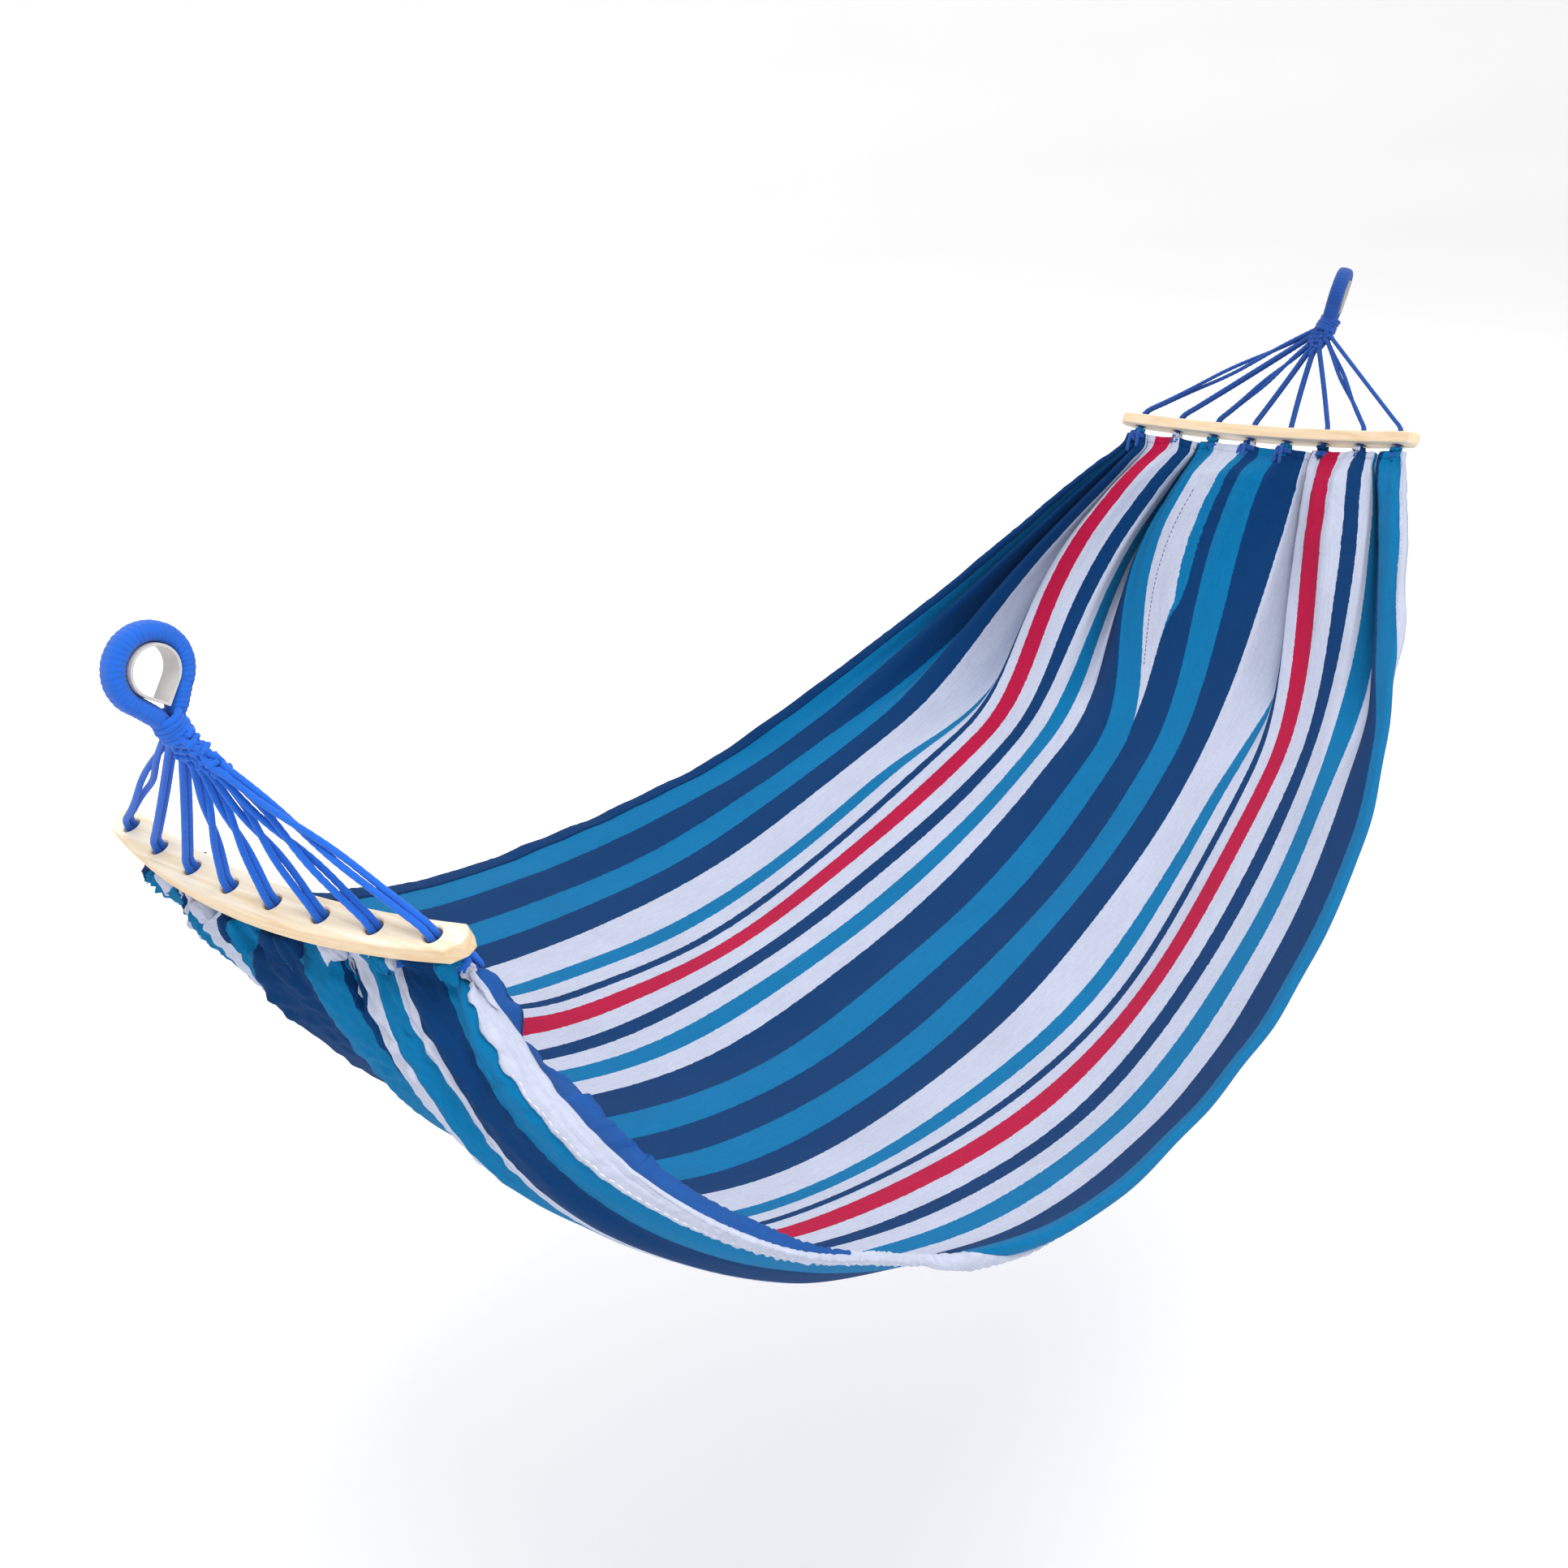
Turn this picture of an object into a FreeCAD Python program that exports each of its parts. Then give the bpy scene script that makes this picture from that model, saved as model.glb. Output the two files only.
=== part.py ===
import FreeCAD, Part
import math
import os

# A hanging hammock: a striped cloth bed between two curved wooden spreader bars.
# Eight doubled cords run from each bar up to a plaited neck and a served eye.
# Millimetres, +Z up. End A is at -X and end B at +X. +Y is the far side.
# The origin is the centre of eye A, which hangs on its hook.

V = FreeCAD.Vector
SIDE = V(0, 1, 0)

# Hanging layout, measured between the middles of the bars.
BAR_SPAN = 1652.0
BAR_B_HIGHER = 34.0
FAN_RISE_A = 157.0
FAN_RISE_B = 152.0
FAN_ANGLE_A = 66.0
FAN_ANGLE_B = 60.0
NECK_B_ASIDE = -54.0

# Eye: a round thimble that runs down to a point, with cord served round it.
EYE_BORE_R = 18.0
EYE_POINT = 25.1
THIMBLE_WALL = 2.0
THIMBLE_LENGTH = 21.0
WRAP_DEPTH = 15.0
WRAP_LENGTH = 20.0
WRAP_ROUNDING = 6.5
EYE_TO_NECK = 46.0
EYE_ANGLE_A = 79.0
EYE_B_TWIST = 24.0
EYE_B_ASIDE = -0.10

# Neck: a ball at the pivot and a flat plaited web that spreads to the cords.
BALL_R = 12.0
PIVOT_GAP = 0.6
SOCKET_RIM = 5.0
WEB_DEPTH = 44.0
WEB_THICKNESS = 14.0
WEB_TOP_HALF = 10.0
WEB_ROUNDING = 3.0

# Cords: two strands side by side through each hole of the bar.
CORD_COUNT = 8
STRAND_D = 5.5
STRAND_GAP = 0.35
START_PITCH = 10.4
START_INSIDE = 5.0
BEND_R = 11.0

# Spreader bar, flat and bent in its own plane.
BAR_LENGTH = 440.0
BAR_WIDTH = 34.0
BAR_END_WIDTH = 27.0
BAR_THICKNESS = 16.0
BAR_BOW = 27.0
BAR_CORNER = 9.0
BAR_ROUNDING = 2.5
HOLE_PITCH = 55.0
HOLE_D = 14.6
HOLE_RIM = 1.2

# Ties under the bar.
KNOT_GAP = 2.6
KNOT_R = 8.0
KNOT_FLATTEN = 0.8
GATHER_LENGTH = 15.0
GATHER_TOP_R = 4.5
GATHER_FOOT_R = 8.0

# Cloth: four guide lines run from bar to bar, far edge first. Each line leaves end A
# towards its first pull point and reaches end B from its second one.
PULLS_A = (V(-805, 360, -145), V(-635, 185, -550), V(-1060, -370, -610), V(-1000, -720, -340))
PULLS_B = (V(205, 925, -775), V(570, 510, -715), V(530, -275, -685), V(165, -525, -420))
CLOTH_THICKNESS = 2.5
HEM_THICKNESS = 5.0
CLOTH_EDGE_HALF = 212.0
END_HEM = 0.012
FAR_HEM = 0.022
NEAR_HEM = 0.024

os.makedirs("parts", exist_ok=True)


def fan_direction(degrees, sign):
    """Unit vector from the bar up to the neck. sign is -1 at end A and +1 at end B."""
    angle = math.radians(degrees)
    return V(sign * math.cos(angle), 0, math.sin(angle))


class End:
    """The places and directions of one end of the hammock."""

    def __init__(self, name, sign, degrees, rise, height, aside):
        self.name = name
        self.sign = sign
        self.up = fan_direction(degrees, sign)
        self.inward = V(-sign * self.up.z, 0, abs(self.up.x))
        self.bar = V(sign * BAR_SPAN / 2, 0, height)
        self.neck = self.bar + self.up * rise + SIDE * aside
        self.down = (self.bar - self.neck).normalize()
        self.web_normal = self.down.cross(SIDE).normalize()

    def bow(self, y):
        """How far the bar's middle line stands outward of its ends at y."""
        return BAR_BOW * (1 - (2 * y / BAR_LENGTH) ** 2)

    def on_bar(self, y, above=0.0):
        return self.bar + SIDE * y - self.inward * self.bow(y) + self.up * above


end_a = End("a", -1, FAN_ANGLE_A, FAN_RISE_A, 0.0, 0.0)
end_b = End("b", 1, FAN_ANGLE_B, FAN_RISE_B, BAR_B_HIGHER, NECK_B_ASIDE)
end_a.eye_up = fan_direction(EYE_ANGLE_A, -1)
end_b.eye_up = (end_b.up + SIDE * EYE_B_ASIDE).normalize()
end_a.eye_axis = SIDE
end_b.eye_axis = FreeCAD.Rotation(V(0, 0, 1), EYE_B_TWIST).multVec(SIDE)
for end in (end_a, end_b):
    end.eye_axis = (end.eye_axis - end.eye_up * end.eye_axis.dot(end.eye_up)).normalize()
    end.eye = end.neck + end.eye_up * EYE_TO_NECK
ORIGIN = end_a.eye


def save(name, solids):
    """Move the solids into the row frame and write them as one node."""
    shape = solids[0] if len(solids) == 1 else Part.makeCompound(solids)
    shape = shape.copy()
    shape.translate(ORIGIN * -1)
    shape.exportStep("parts/" + name + ".step")
    print(name, len(shape.Solids), round(shape.Volume), shape.isValid())


# Eyes

def teardrop(end, radius, point, length):
    """A round plug with its centre in the eye and a straight-sided point towards the neck."""
    across = end.eye_axis.cross(end.eye_up)
    start = end.eye - end.eye_axis * (length / 2)
    touch = math.acos(radius / point)
    right = start + across * (radius * math.sin(touch)) - end.eye_up * (radius * math.cos(touch))
    left = start - across * (radius * math.sin(touch)) - end.eye_up * (radius * math.cos(touch))
    top = start + end.eye_up * radius
    tip = start - end.eye_up * point
    edges = [Part.Arc(right, top, left).toShape(), Part.makeLine(left, tip), Part.makeLine(tip, right)]
    return Part.Face(Part.Wire(edges)).extrude(end.eye_axis * length)


def offset_point(grow):
    """The point of a teardrop that is grown evenly by this much."""
    return EYE_POINT * (EYE_BORE_R + grow) / EYE_BORE_R


def thimble(end):
    outside = teardrop(end, EYE_BORE_R + THIMBLE_WALL, offset_point(THIMBLE_WALL), THIMBLE_LENGTH)
    inside = teardrop(end, EYE_BORE_R, EYE_POINT, THIMBLE_LENGTH * 2)
    return outside.cut(inside).Solids[0]


def eye_wrap(end):
    """The served cord round the thimble, with a hollow where the neck's ball turns."""
    grow = THIMBLE_WALL + WRAP_DEPTH
    outside = teardrop(end, EYE_BORE_R + grow, offset_point(grow), WRAP_LENGTH)
    rims = [edge for edge in outside.Edges if on_rim(edge, end)]
    outside = outside.makeFillet(WRAP_ROUNDING, rims)
    inside = teardrop(end, EYE_BORE_R + THIMBLE_WALL, offset_point(THIMBLE_WALL), WRAP_LENGTH * 2)
    hollow = Part.makeSphere(BALL_R + PIVOT_GAP, end.neck)
    below = end.neck + end.eye_up * SOCKET_RIM
    tail = Part.makeCylinder(40, 60, below, end.eye_up * -1)
    return outside.cut(inside).cut(hollow).cut(tail).Solids[0]


def on_rim(edge, end):
    """True for an edge that lies in one of the two flat faces."""
    places = [vertex.Point for vertex in edge.Vertexes]
    depths = [abs((place - end.eye).dot(end.eye_axis)) for place in places]
    spread = [(place - end.eye).dot(end.eye_axis) for place in places]
    return min(depths) > 1 and max(spread) - min(spread) < 1


# Neck, cords and bar

def neck_plait(end):
    """The plaited web that binds the cords under the eye."""
    half_foot = START_PITCH * CORD_COUNT / 2
    lift = end.web_normal * (WEB_THICKNESS / 2)
    top = end.neck + end.down * (BALL_R * 0.3)
    foot = end.neck + end.down * WEB_DEPTH
    corners = [top - SIDE * WEB_TOP_HALF, top + SIDE * WEB_TOP_HALF,
               foot + SIDE * half_foot, foot - SIDE * half_foot]
    corners = [corner - lift for corner in corners]
    web = Part.Face(Part.makePolygon(corners + corners[:1])).extrude(lift * 2)
    web = web.makeFillet(WEB_ROUNDING, web.Edges)
    return web.fuse(Part.makeSphere(BALL_R, end.neck)).removeSplitter().Solids[0]


def hole_sides():
    """The y of each hole, far side first."""
    return [HOLE_PITCH * ((CORD_COUNT - 1) / 2 - index) for index in range(CORD_COUNT)]


def strand(end, index, y, shift):
    """One strand: out of the plait, round a bend above the hole and down to the knot."""
    foot = end.neck + end.down * (WEB_DEPTH - START_INSIDE)
    side = START_PITCH * ((CORD_COUNT - 1) / 2 - index)
    start = foot + SIDE * side + end.inward * shift
    corner = end.on_bar(y, BAR_THICKNESS / 2) + end.inward * shift
    turn = (corner - start).getAngle(end.up * -1)
    corner = corner + end.up * (BEND_R * math.tan(turn / 2) + 0.5)
    slant = (corner - start).normalize()
    turn = slant.getAngle(end.up * -1)
    reach = BEND_R * math.tan(turn / 2)
    finish = end.on_bar(y, -BAR_THICKNESS / 2 - KNOT_GAP) + end.inward * shift
    first = corner + slant * -reach
    last = corner - end.up * reach
    middle = corner + ((first + last) * 0.5 - corner) * bend_fraction(turn)
    edges = [Part.makeLine(start, first), Part.Arc(first, middle, last).toShape(), Part.makeLine(last, finish)]
    ring = Part.Wire(Part.makeCircle(STRAND_D / 2, start, slant))
    tube = Part.Wire(edges).makePipeShell([ring], True, False)
    length = (first - start).Length + BEND_R * turn + (last - finish).Length
    share = tube.Volume / (length * math.pi * STRAND_D ** 2 / 4)
    if abs(share - 1) > 0.02:
        print("strand volume is off", end.name, index, round(share, 3))
    return tube


def bend_fraction(turn):
    """How far along, from corner to chord, a tangent arc crosses the corner's middle line."""
    to_chord = math.sin(turn / 2) * math.tan(turn / 2)
    to_arc = (1 - math.cos(turn / 2)) / math.cos(turn / 2)
    return to_arc / to_chord if to_chord else 0.0


def fan_cord(end, index, y, plait):
    """Both strands, cut off where they leave the plait."""
    shift = (STRAND_D + STRAND_GAP) / 2
    strands = [strand(end, index, y, shift), strand(end, index, y, -shift)]
    pieces = [piece.cut(plait).Solids for piece in strands]
    return [max(solids, key=lambda solid: solid.Volume) for solids in pieces]


def spreader_bar(end):
    """A flat crescent with cut corners, rounded rims and a row of holes."""
    half = BAR_LENGTH / 2
    below = end.up * (-BAR_THICKNESS / 2)
    edge_y = half - BAR_CORNER

    def rim(y, half_width):
        return end.on_bar(y) + below + end.inward * half_width

    inner = Part.Arc(rim(-edge_y, BAR_END_WIDTH / 2), rim(0, BAR_WIDTH / 2), rim(edge_y, BAR_END_WIDTH / 2))
    outer = Part.Arc(rim(edge_y, -BAR_END_WIDTH / 2), rim(0, -BAR_WIDTH / 2), rim(-edge_y, -BAR_END_WIDTH / 2))
    flat = BAR_END_WIDTH / 2 - BAR_CORNER
    far = [rim(edge_y, BAR_END_WIDTH / 2), rim(half, flat), rim(half, -flat), rim(edge_y, -BAR_END_WIDTH / 2)]
    near = [rim(-edge_y, -BAR_END_WIDTH / 2), rim(-half, -flat), rim(-half, flat), rim(-edge_y, BAR_END_WIDTH / 2)]
    edges = [inner.toShape()]
    edges += [Part.makeLine(far[k], far[k + 1]) for k in range(3)]
    edges.append(outer.toShape())
    edges += [Part.makeLine(near[k], near[k + 1]) for k in range(3)]
    bar = Part.Face(Part.Wire(edges)).extrude(end.up * BAR_THICKNESS)
    bar = bar.makeFillet(BAR_ROUNDING, bar.Edges)
    for y in hole_sides():
        bottom = end.on_bar(y, -BAR_THICKNESS)
        bar = bar.cut(Part.makeCylinder(HOLE_D / 2, BAR_THICKNESS * 2, bottom, end.up))
        for facing in (1, -1):
            seat = end.on_bar(y, facing * (BAR_THICKNESS / 2 - HOLE_RIM))
            rim_cone = Part.makeCone(HOLE_D / 2, HOLE_D / 2 + HOLE_RIM * 2, HOLE_RIM * 2, seat, end.up * facing)
            bar = bar.cut(rim_cone)
    return bar.Solids[0]


# Ties

def knot_center(end, y):
    return end.on_bar(y, -BAR_THICKNESS / 2 - KNOT_GAP - KNOT_R * KNOT_FLATTEN)


def tie_knot(end, y):
    """A stop knot, a little flattened along the cord."""
    center = knot_center(end, y)
    height = KNOT_R * KNOT_FLATTEN
    ball = Part.makeSphere(KNOT_R)
    squash = FreeCAD.Matrix()
    squash.scale(V(1, 1, KNOT_FLATTEN))
    knot = ball.transformGeometry(squash)
    knot.Placement = FreeCAD.Placement(center, FreeCAD.Rotation(V(0, 0, 1), end.up))
    flat_top = Part.makeBox(40, 40, 10, V(-20, -20, height - 1.2))
    flat_foot = Part.makeBox(40, 40, 10, V(-20, -20, -height + 1.2 - 10))
    for tool in (flat_top, flat_foot):
        tool.Placement = FreeCAD.Placement(center, FreeCAD.Rotation(V(0, 0, 1), end.up))
        knot = knot.cut(tool)
    return knot.Solids[0]


def gather(end, y, hem):
    """The bunched corner of cloth that the knot holds, down to the hem it belongs to."""
    top = knot_center(end, y) - end.up * (KNOT_R * KNOT_FLATTEN - 1.2)
    cone = Part.makeCone(GATHER_TOP_R, GATHER_FOOT_R, GATHER_LENGTH, top, end.up * -1)
    return max(cone.cut(hem).Solids, key=lambda solid: solid.Volume)


# Cloth

def tie_line(end):
    """Height of the cloth's end below the bar, and its own bow, as pull points."""
    drop = BAR_THICKNESS / 2 + KNOT_GAP + 2 * KNOT_R * KNOT_FLATTEN + GATHER_LENGTH - 1.5
    places = []
    for share, bow in ((1, 0), (1 / 3, 4 / 3), (-1 / 3, 4 / 3), (-1, 0)):
        place = end.bar + SIDE * (share * CLOTH_EDGE_HALF) - end.inward * (bow * BAR_BOW) - end.up * drop
        places.append(place)
    return places


def cloth_surface():
    surface = Part.BezierSurface()
    surface.increase(3, 3)
    rows = (tie_line(end_a), PULLS_A, PULLS_B, tie_line(end_b))
    for i, row in enumerate(rows):
        for j, place in enumerate(row):
            surface.setPole(i + 1, j + 1, place)
    return surface


def panel(surface, from_u, to_u, from_v, to_v, thickness):
    """A closed sheet of even thickness, half of it on each side of the surface."""
    piece = surface.copy()
    piece.segment(from_u, to_u, from_v, to_v)
    face = piece.toShape()
    lower = face.makeOffsetShape(-thickness / 2, 0.01)
    solid = lower.makeOffsetShape(thickness, 0.01, fill=True)
    if solid.Volume < 0:
        solid.reverse()
    return solid.Solids[0] if solid.Solids else Part.Solid(solid)


cloth = cloth_surface()
end_a.hem = panel(cloth, 0, END_HEM, 0, 1, HEM_THICKNESS)
end_b.hem = panel(cloth, 1 - END_HEM, 1, 0, 1, HEM_THICKNESS)
save("cloth_bed", [panel(cloth, END_HEM, 1 - END_HEM, FAR_HEM, 1 - NEAR_HEM, CLOTH_THICKNESS)])
save("far_hem", [panel(cloth, END_HEM, 1 - END_HEM, 0, FAR_HEM, HEM_THICKNESS)])
save("near_hem", [panel(cloth, END_HEM, 1 - END_HEM, 1 - NEAR_HEM, 1, HEM_THICKNESS)])

for end in (end_a, end_b):
    plait = neck_plait(end)
    save("thimble_" + end.name, [thimble(end)])
    save("eye_wrap_" + end.name, [eye_wrap(end)])
    save("neck_plait_" + end.name, [plait])
    save("spreader_bar_" + end.name, [spreader_bar(end)])
    for index, y in enumerate(hole_sides()):
        save("fan_cord_%s_%d" % (end.name, index + 1), fan_cord(end, index, y, plait))
    save("tie_knots_" + end.name, [tie_knot(end, y) for y in hole_sides()])
    save("cloth_gathers_" + end.name, [gather(end, y, end.hem) for y in hole_sides()])
    save("end_hem_" + end.name, [end.hem])

for end in (end_a, end_b):
    for what, place in (("eye", end.eye), ("neck", end.neck), ("bar", end.bar)):
        place = place - ORIGIN
        print(what, end.name, round(place.x, 2), round(place.y, 2), round(place.z, 2))
    print("eye axis", end.name, [round(x, 5) for x in end.eye_axis])
    print("inward", end.name, [round(x, 5) for x in end.inward])
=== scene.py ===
import math
from dataclasses import dataclass

import bpy
import numpy as np
from mathutils import Matrix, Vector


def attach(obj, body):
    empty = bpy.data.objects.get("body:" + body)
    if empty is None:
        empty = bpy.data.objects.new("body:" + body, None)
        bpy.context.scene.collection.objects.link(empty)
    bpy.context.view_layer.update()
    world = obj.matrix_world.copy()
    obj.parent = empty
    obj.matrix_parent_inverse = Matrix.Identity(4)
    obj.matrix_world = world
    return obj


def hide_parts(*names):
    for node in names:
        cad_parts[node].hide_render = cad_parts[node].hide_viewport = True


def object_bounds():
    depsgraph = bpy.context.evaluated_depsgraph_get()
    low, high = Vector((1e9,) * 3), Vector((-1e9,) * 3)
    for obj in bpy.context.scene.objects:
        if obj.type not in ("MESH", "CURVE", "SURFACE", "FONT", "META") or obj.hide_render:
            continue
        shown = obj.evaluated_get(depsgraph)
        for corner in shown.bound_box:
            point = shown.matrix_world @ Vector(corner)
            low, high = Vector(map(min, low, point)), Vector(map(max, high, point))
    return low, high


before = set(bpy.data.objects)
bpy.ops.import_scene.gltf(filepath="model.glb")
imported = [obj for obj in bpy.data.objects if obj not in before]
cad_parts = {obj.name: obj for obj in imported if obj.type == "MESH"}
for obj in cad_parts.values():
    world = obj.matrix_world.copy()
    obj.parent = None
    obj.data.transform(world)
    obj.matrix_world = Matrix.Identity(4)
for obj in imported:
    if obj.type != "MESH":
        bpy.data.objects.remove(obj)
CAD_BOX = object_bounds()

# A hanging hammock in its own frame: metres, +Z up, the origin at the centre of eye A.
# End A is at low X and end B at high X. +Y is the far side of the cloth.

SIDE = np.array([0.0, 1.0, 0.0])

# Hanging layout, the same driving sizes as the CAD source.
BAR_SPAN = 1.652
BAR_LENGTH = 0.440
BAR_THICKNESS = 0.016
BAR_BOW = 0.027
HOLE_PITCH = 0.055
CORD_COUNT = 8
EYE_TO_NECK = 0.046
EYE_BORE_R = 0.018
EYE_POINT = 0.0251
THIMBLE_WALL = 0.002
WRAP_DEPTH = 0.015
WRAP_LENGTH = 0.020
WEB_DEPTH = 0.044
START_PITCH_A = 0.0104
START_PITCH_B = 0.0072
STRAND_R = 0.00275
STRAND_SHIFT = 0.00293
FAN_ANGLE_A = 66.0
FAN_ANGLE_B = 60.0
NECK_RISE_A = 0.157
NECK_RISE_B = 0.152
NECK_B_ASIDE = -0.054
BAR_B_HEIGHT = 0.034
EYE_ANGLE_A = 79.0
EYE_B_TWIST = 24.0
EYE_B_ASIDE = -0.10

# The cloth's guide lines, far edge first, in the frame of the hammock's middle.
PULLS_A = ((-0.805, 0.360, -0.145), (-0.635, 0.185, -0.550),
           (-1.060, -0.370, -0.610), (-1.000, -0.720, -0.340))
PULLS_B = ((0.205, 0.925, -0.775), (0.570, 0.510, -0.715),
           (0.530, -0.275, -0.685), (0.165, -0.525, -0.420))
CLOTH_EDGE_HALF = 0.212
TIE_DROP = 0.0369
CLOTH_WIDTH = 1.14
CLOTH_LENGTH = 2.01
CLOTH_GAUGE = 0.0012

# Stripes are counted in units across the flat cloth from the far edge. N navy, B blue,
# W white, R red. The woven repeat starts partly cut off at the far edge.
UNITS = 771.0
CREST_UNIT = 753.5
TURNED_CREST_UNIT = 729.0
TURNED_SPAN = (0.40, 0.66, 1.50, 1.84)
CREST_PULL_FROM = 560.0
REPEAT = (("N", 36), ("B", 32), ("N", 34), ("B", 31), ("N", 30), ("W", 36), ("B", 15), ("W", 15),
          ("N", 9), ("W", 13), ("R", 17), ("W", 18), ("N", 15), ("W", 17), ("B", 19), ("W", 20))
REPEAT_UNITS = 357.0
CUT_OFF = 21.0
LAST_NAVY = 693.0
LAST_BLUE = 718.0
FAR_HEM_UNITS = 15.0
NEAR_HEM_FROM = 742.5
NEAR_HEM_NARROWS = 3.0

# How the flat cloth is bunched at each bar: (stripe unit, place across in millimetres).
# A stretch whose ends share a place is tucked out of sight in a fold.
BUNCH_A = ((0, 212), (20, 202), (80, 197), (112, 184), (140, 179), (160, 160), (264, 152),
           (280, 138), (297, 132), (316, 110), (336, 84), (372, 76), (404, 36), (438, -20),
           (469, -68), (550, -76), (634, -84), (654, -105), (673, -127), (689, -135), (716, -168),
           (721, -176), (741, -196), (753.5, -212))
BUNCH_B = ((0, 212), (20, 204), (48, 202), (60, 194), (116, 190), (137, 178), (219, 174),
           (230, 166), (247, 147), (265, 130), (280, 111), (288, 108), (372, 102), (404, 77),
           (428, 38), (433, 24), (438, 9), (469, -19), (500, -58), (577, -67), (587, -84), (604, -109),
           (622, -134), (637, -155), (647, -163), (715, -171), (736, -198), (753.5, -212))
# Folds as (first unit, last unit, lean, side). Side +1 hangs out under the bed, -1 stands inside.
FOLDS_A = ((20, 80, 0.3, -1), (112, 140, -0.3, -1), (160, 264, 0.2, -1), (336, 372, -0.2, -1),
           (437, 439, 0.0, -1), (469, 550, 0.25, -1), (550, 634, 0.15, -1), (673, 689, 0.0, -1),
           (716, 721, 0.0, -1))
FOLDS_B = ((20, 48, 0.3, 1), (60, 116, 0.25, 1), (137, 219, 0.2, 1), (288, 372, -0.2, 1),
           (500, 577, 0.2, 1), (647, 715, -0.25, 1))
TALLEST_FOLD = 0.048
# The stripe units between which a gathering's reach along the cloth changes to its near one.
NEAR_PART = (330, 470)


def unit(vectors):
    """Each vector made one long."""
    return vectors / np.linalg.norm(vectors, axis=-1, keepdims=True)


def fan_direction(degrees, sign):
    angle = math.radians(degrees)
    return np.array([sign * math.cos(angle), 0.0, math.sin(angle)])


class End:
    """The places and directions of one end of the hammock."""

    def __init__(self, name, sign, degrees, rise, height, aside, start_pitch, origin):
        self.name = name
        self.sign = sign
        self.start_pitch = start_pitch
        self.up = fan_direction(degrees, sign)
        self.inward = np.array([-sign * self.up[2], 0.0, abs(self.up[0])])
        self.bar = np.array([sign * BAR_SPAN / 2, 0.0, height]) - origin
        self.neck = self.bar + self.up * rise + SIDE * aside
        self.down = unit(self.bar - self.neck)
        self.web_normal = unit(np.cross(self.down, SIDE))

    def on_bar(self, y, above=0.0):
        bow = BAR_BOW * (1 - (2 * y / BAR_LENGTH) ** 2)
        return self.bar + SIDE * y - self.inward * bow + self.up * above

    def draw(self, seed):
        """Random draws of this end's own."""
        return np.random.default_rng(seed + (1 if self.name == "a" else 2))


eye_up_a = fan_direction(EYE_ANGLE_A, -1)
neck_up_a = fan_direction(FAN_ANGLE_A, -1) * NECK_RISE_A
ORIGIN = np.array([-BAR_SPAN / 2, 0.0, 0.0]) + neck_up_a + eye_up_a * EYE_TO_NECK
end_a = End("a", -1, FAN_ANGLE_A, NECK_RISE_A, 0.0, 0.0, START_PITCH_A, ORIGIN)
end_b = End("b", 1, FAN_ANGLE_B, NECK_RISE_B, BAR_B_HEIGHT, NECK_B_ASIDE, START_PITCH_B, ORIGIN)
end_a.eye_up = eye_up_a
end_b.eye_up = unit(end_b.up + SIDE * EYE_B_ASIDE)
end_a.eye_axis = SIDE
twist = math.radians(EYE_B_TWIST)
end_b.eye_axis = np.array([-math.sin(twist), math.cos(twist), 0.0])
for end in (end_a, end_b):
    end.eye_axis = unit(end.eye_axis - end.eye_up * end.eye_axis.dot(end.eye_up))
    end.eye = end.neck + end.eye_up * EYE_TO_NECK
HOLES = [HOLE_PITCH * ((CORD_COUNT - 1) / 2 - k) for k in range(CORD_COUNT)]

# Camera

CAMERA_PLACE = (-0.6412, -1.1503, 0.3649)
CAMERA_YAW = 41.383
CAMERA_PITCH = -21.423
CAMERA_ROLL = -4.290
CAMERA_LENS = 42.13


def placed(right, top, back, place):
    """The matrix of a camera or light with these directions at this place."""
    matrix = np.eye(4)
    matrix[:3] = np.stack([right, top, back, place], 1)
    return Matrix(matrix.tolist())


def make_camera():
    yaw, pitch, roll = (math.radians(a) for a in (CAMERA_YAW, CAMERA_PITCH, CAMERA_ROLL))
    ahead = math.cos(pitch)
    forward = np.array([ahead * math.cos(yaw), ahead * math.sin(yaw), math.sin(pitch)])
    level = np.array([math.sin(yaw), -math.cos(yaw), 0.0])
    upright = np.cross(level, forward)
    right = level * math.cos(roll) + upright * math.sin(roll)
    top = upright * math.cos(roll) - level * math.sin(roll)
    data = bpy.data.cameras.new("camera")
    data.lens = CAMERA_LENS
    data.sensor_width = 36.0
    data.clip_start = 0.05
    data.clip_end = 100.0
    camera = bpy.data.objects.new("camera", data)
    camera.matrix_world = placed(right, top, -forward, CAMERA_PLACE)
    bpy.context.scene.collection.objects.link(camera)
    bpy.context.scene.camera = camera


make_camera()


# Mesh helpers

def add_mesh(name, points, faces, material, uv=None, marks=None):
    """A smooth-shaded mesh object. uv holds one pair for each point, marks one number."""
    mesh = bpy.data.meshes.new(name)
    faces = [tuple(map(int, face)) for face in faces]
    mesh.from_pydata(np.asarray(points, float).reshape(-1, 3).tolist(), [], faces)
    mesh.polygons.foreach_set("use_smooth", [True] * len(mesh.polygons))
    if uv is not None:
        corner = np.zeros(len(mesh.loops), int)
        mesh.loops.foreach_get("vertex_index", corner)
        layer = mesh.uv_layers.new(name="UVMap")
        layer.data.foreach_set("uv", np.asarray(uv, float).reshape(-1, 2)[corner].ravel())
    if marks is not None:
        attribute = mesh.attributes.new("mark", "FLOAT", "POINT")
        attribute.data.foreach_set("value", np.asarray(marks, np.float32).ravel())
    mesh.materials.append(material)
    mesh.update()
    thing = bpy.data.objects.new(name, mesh)
    bpy.context.scene.collection.objects.link(thing)
    return thing


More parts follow.
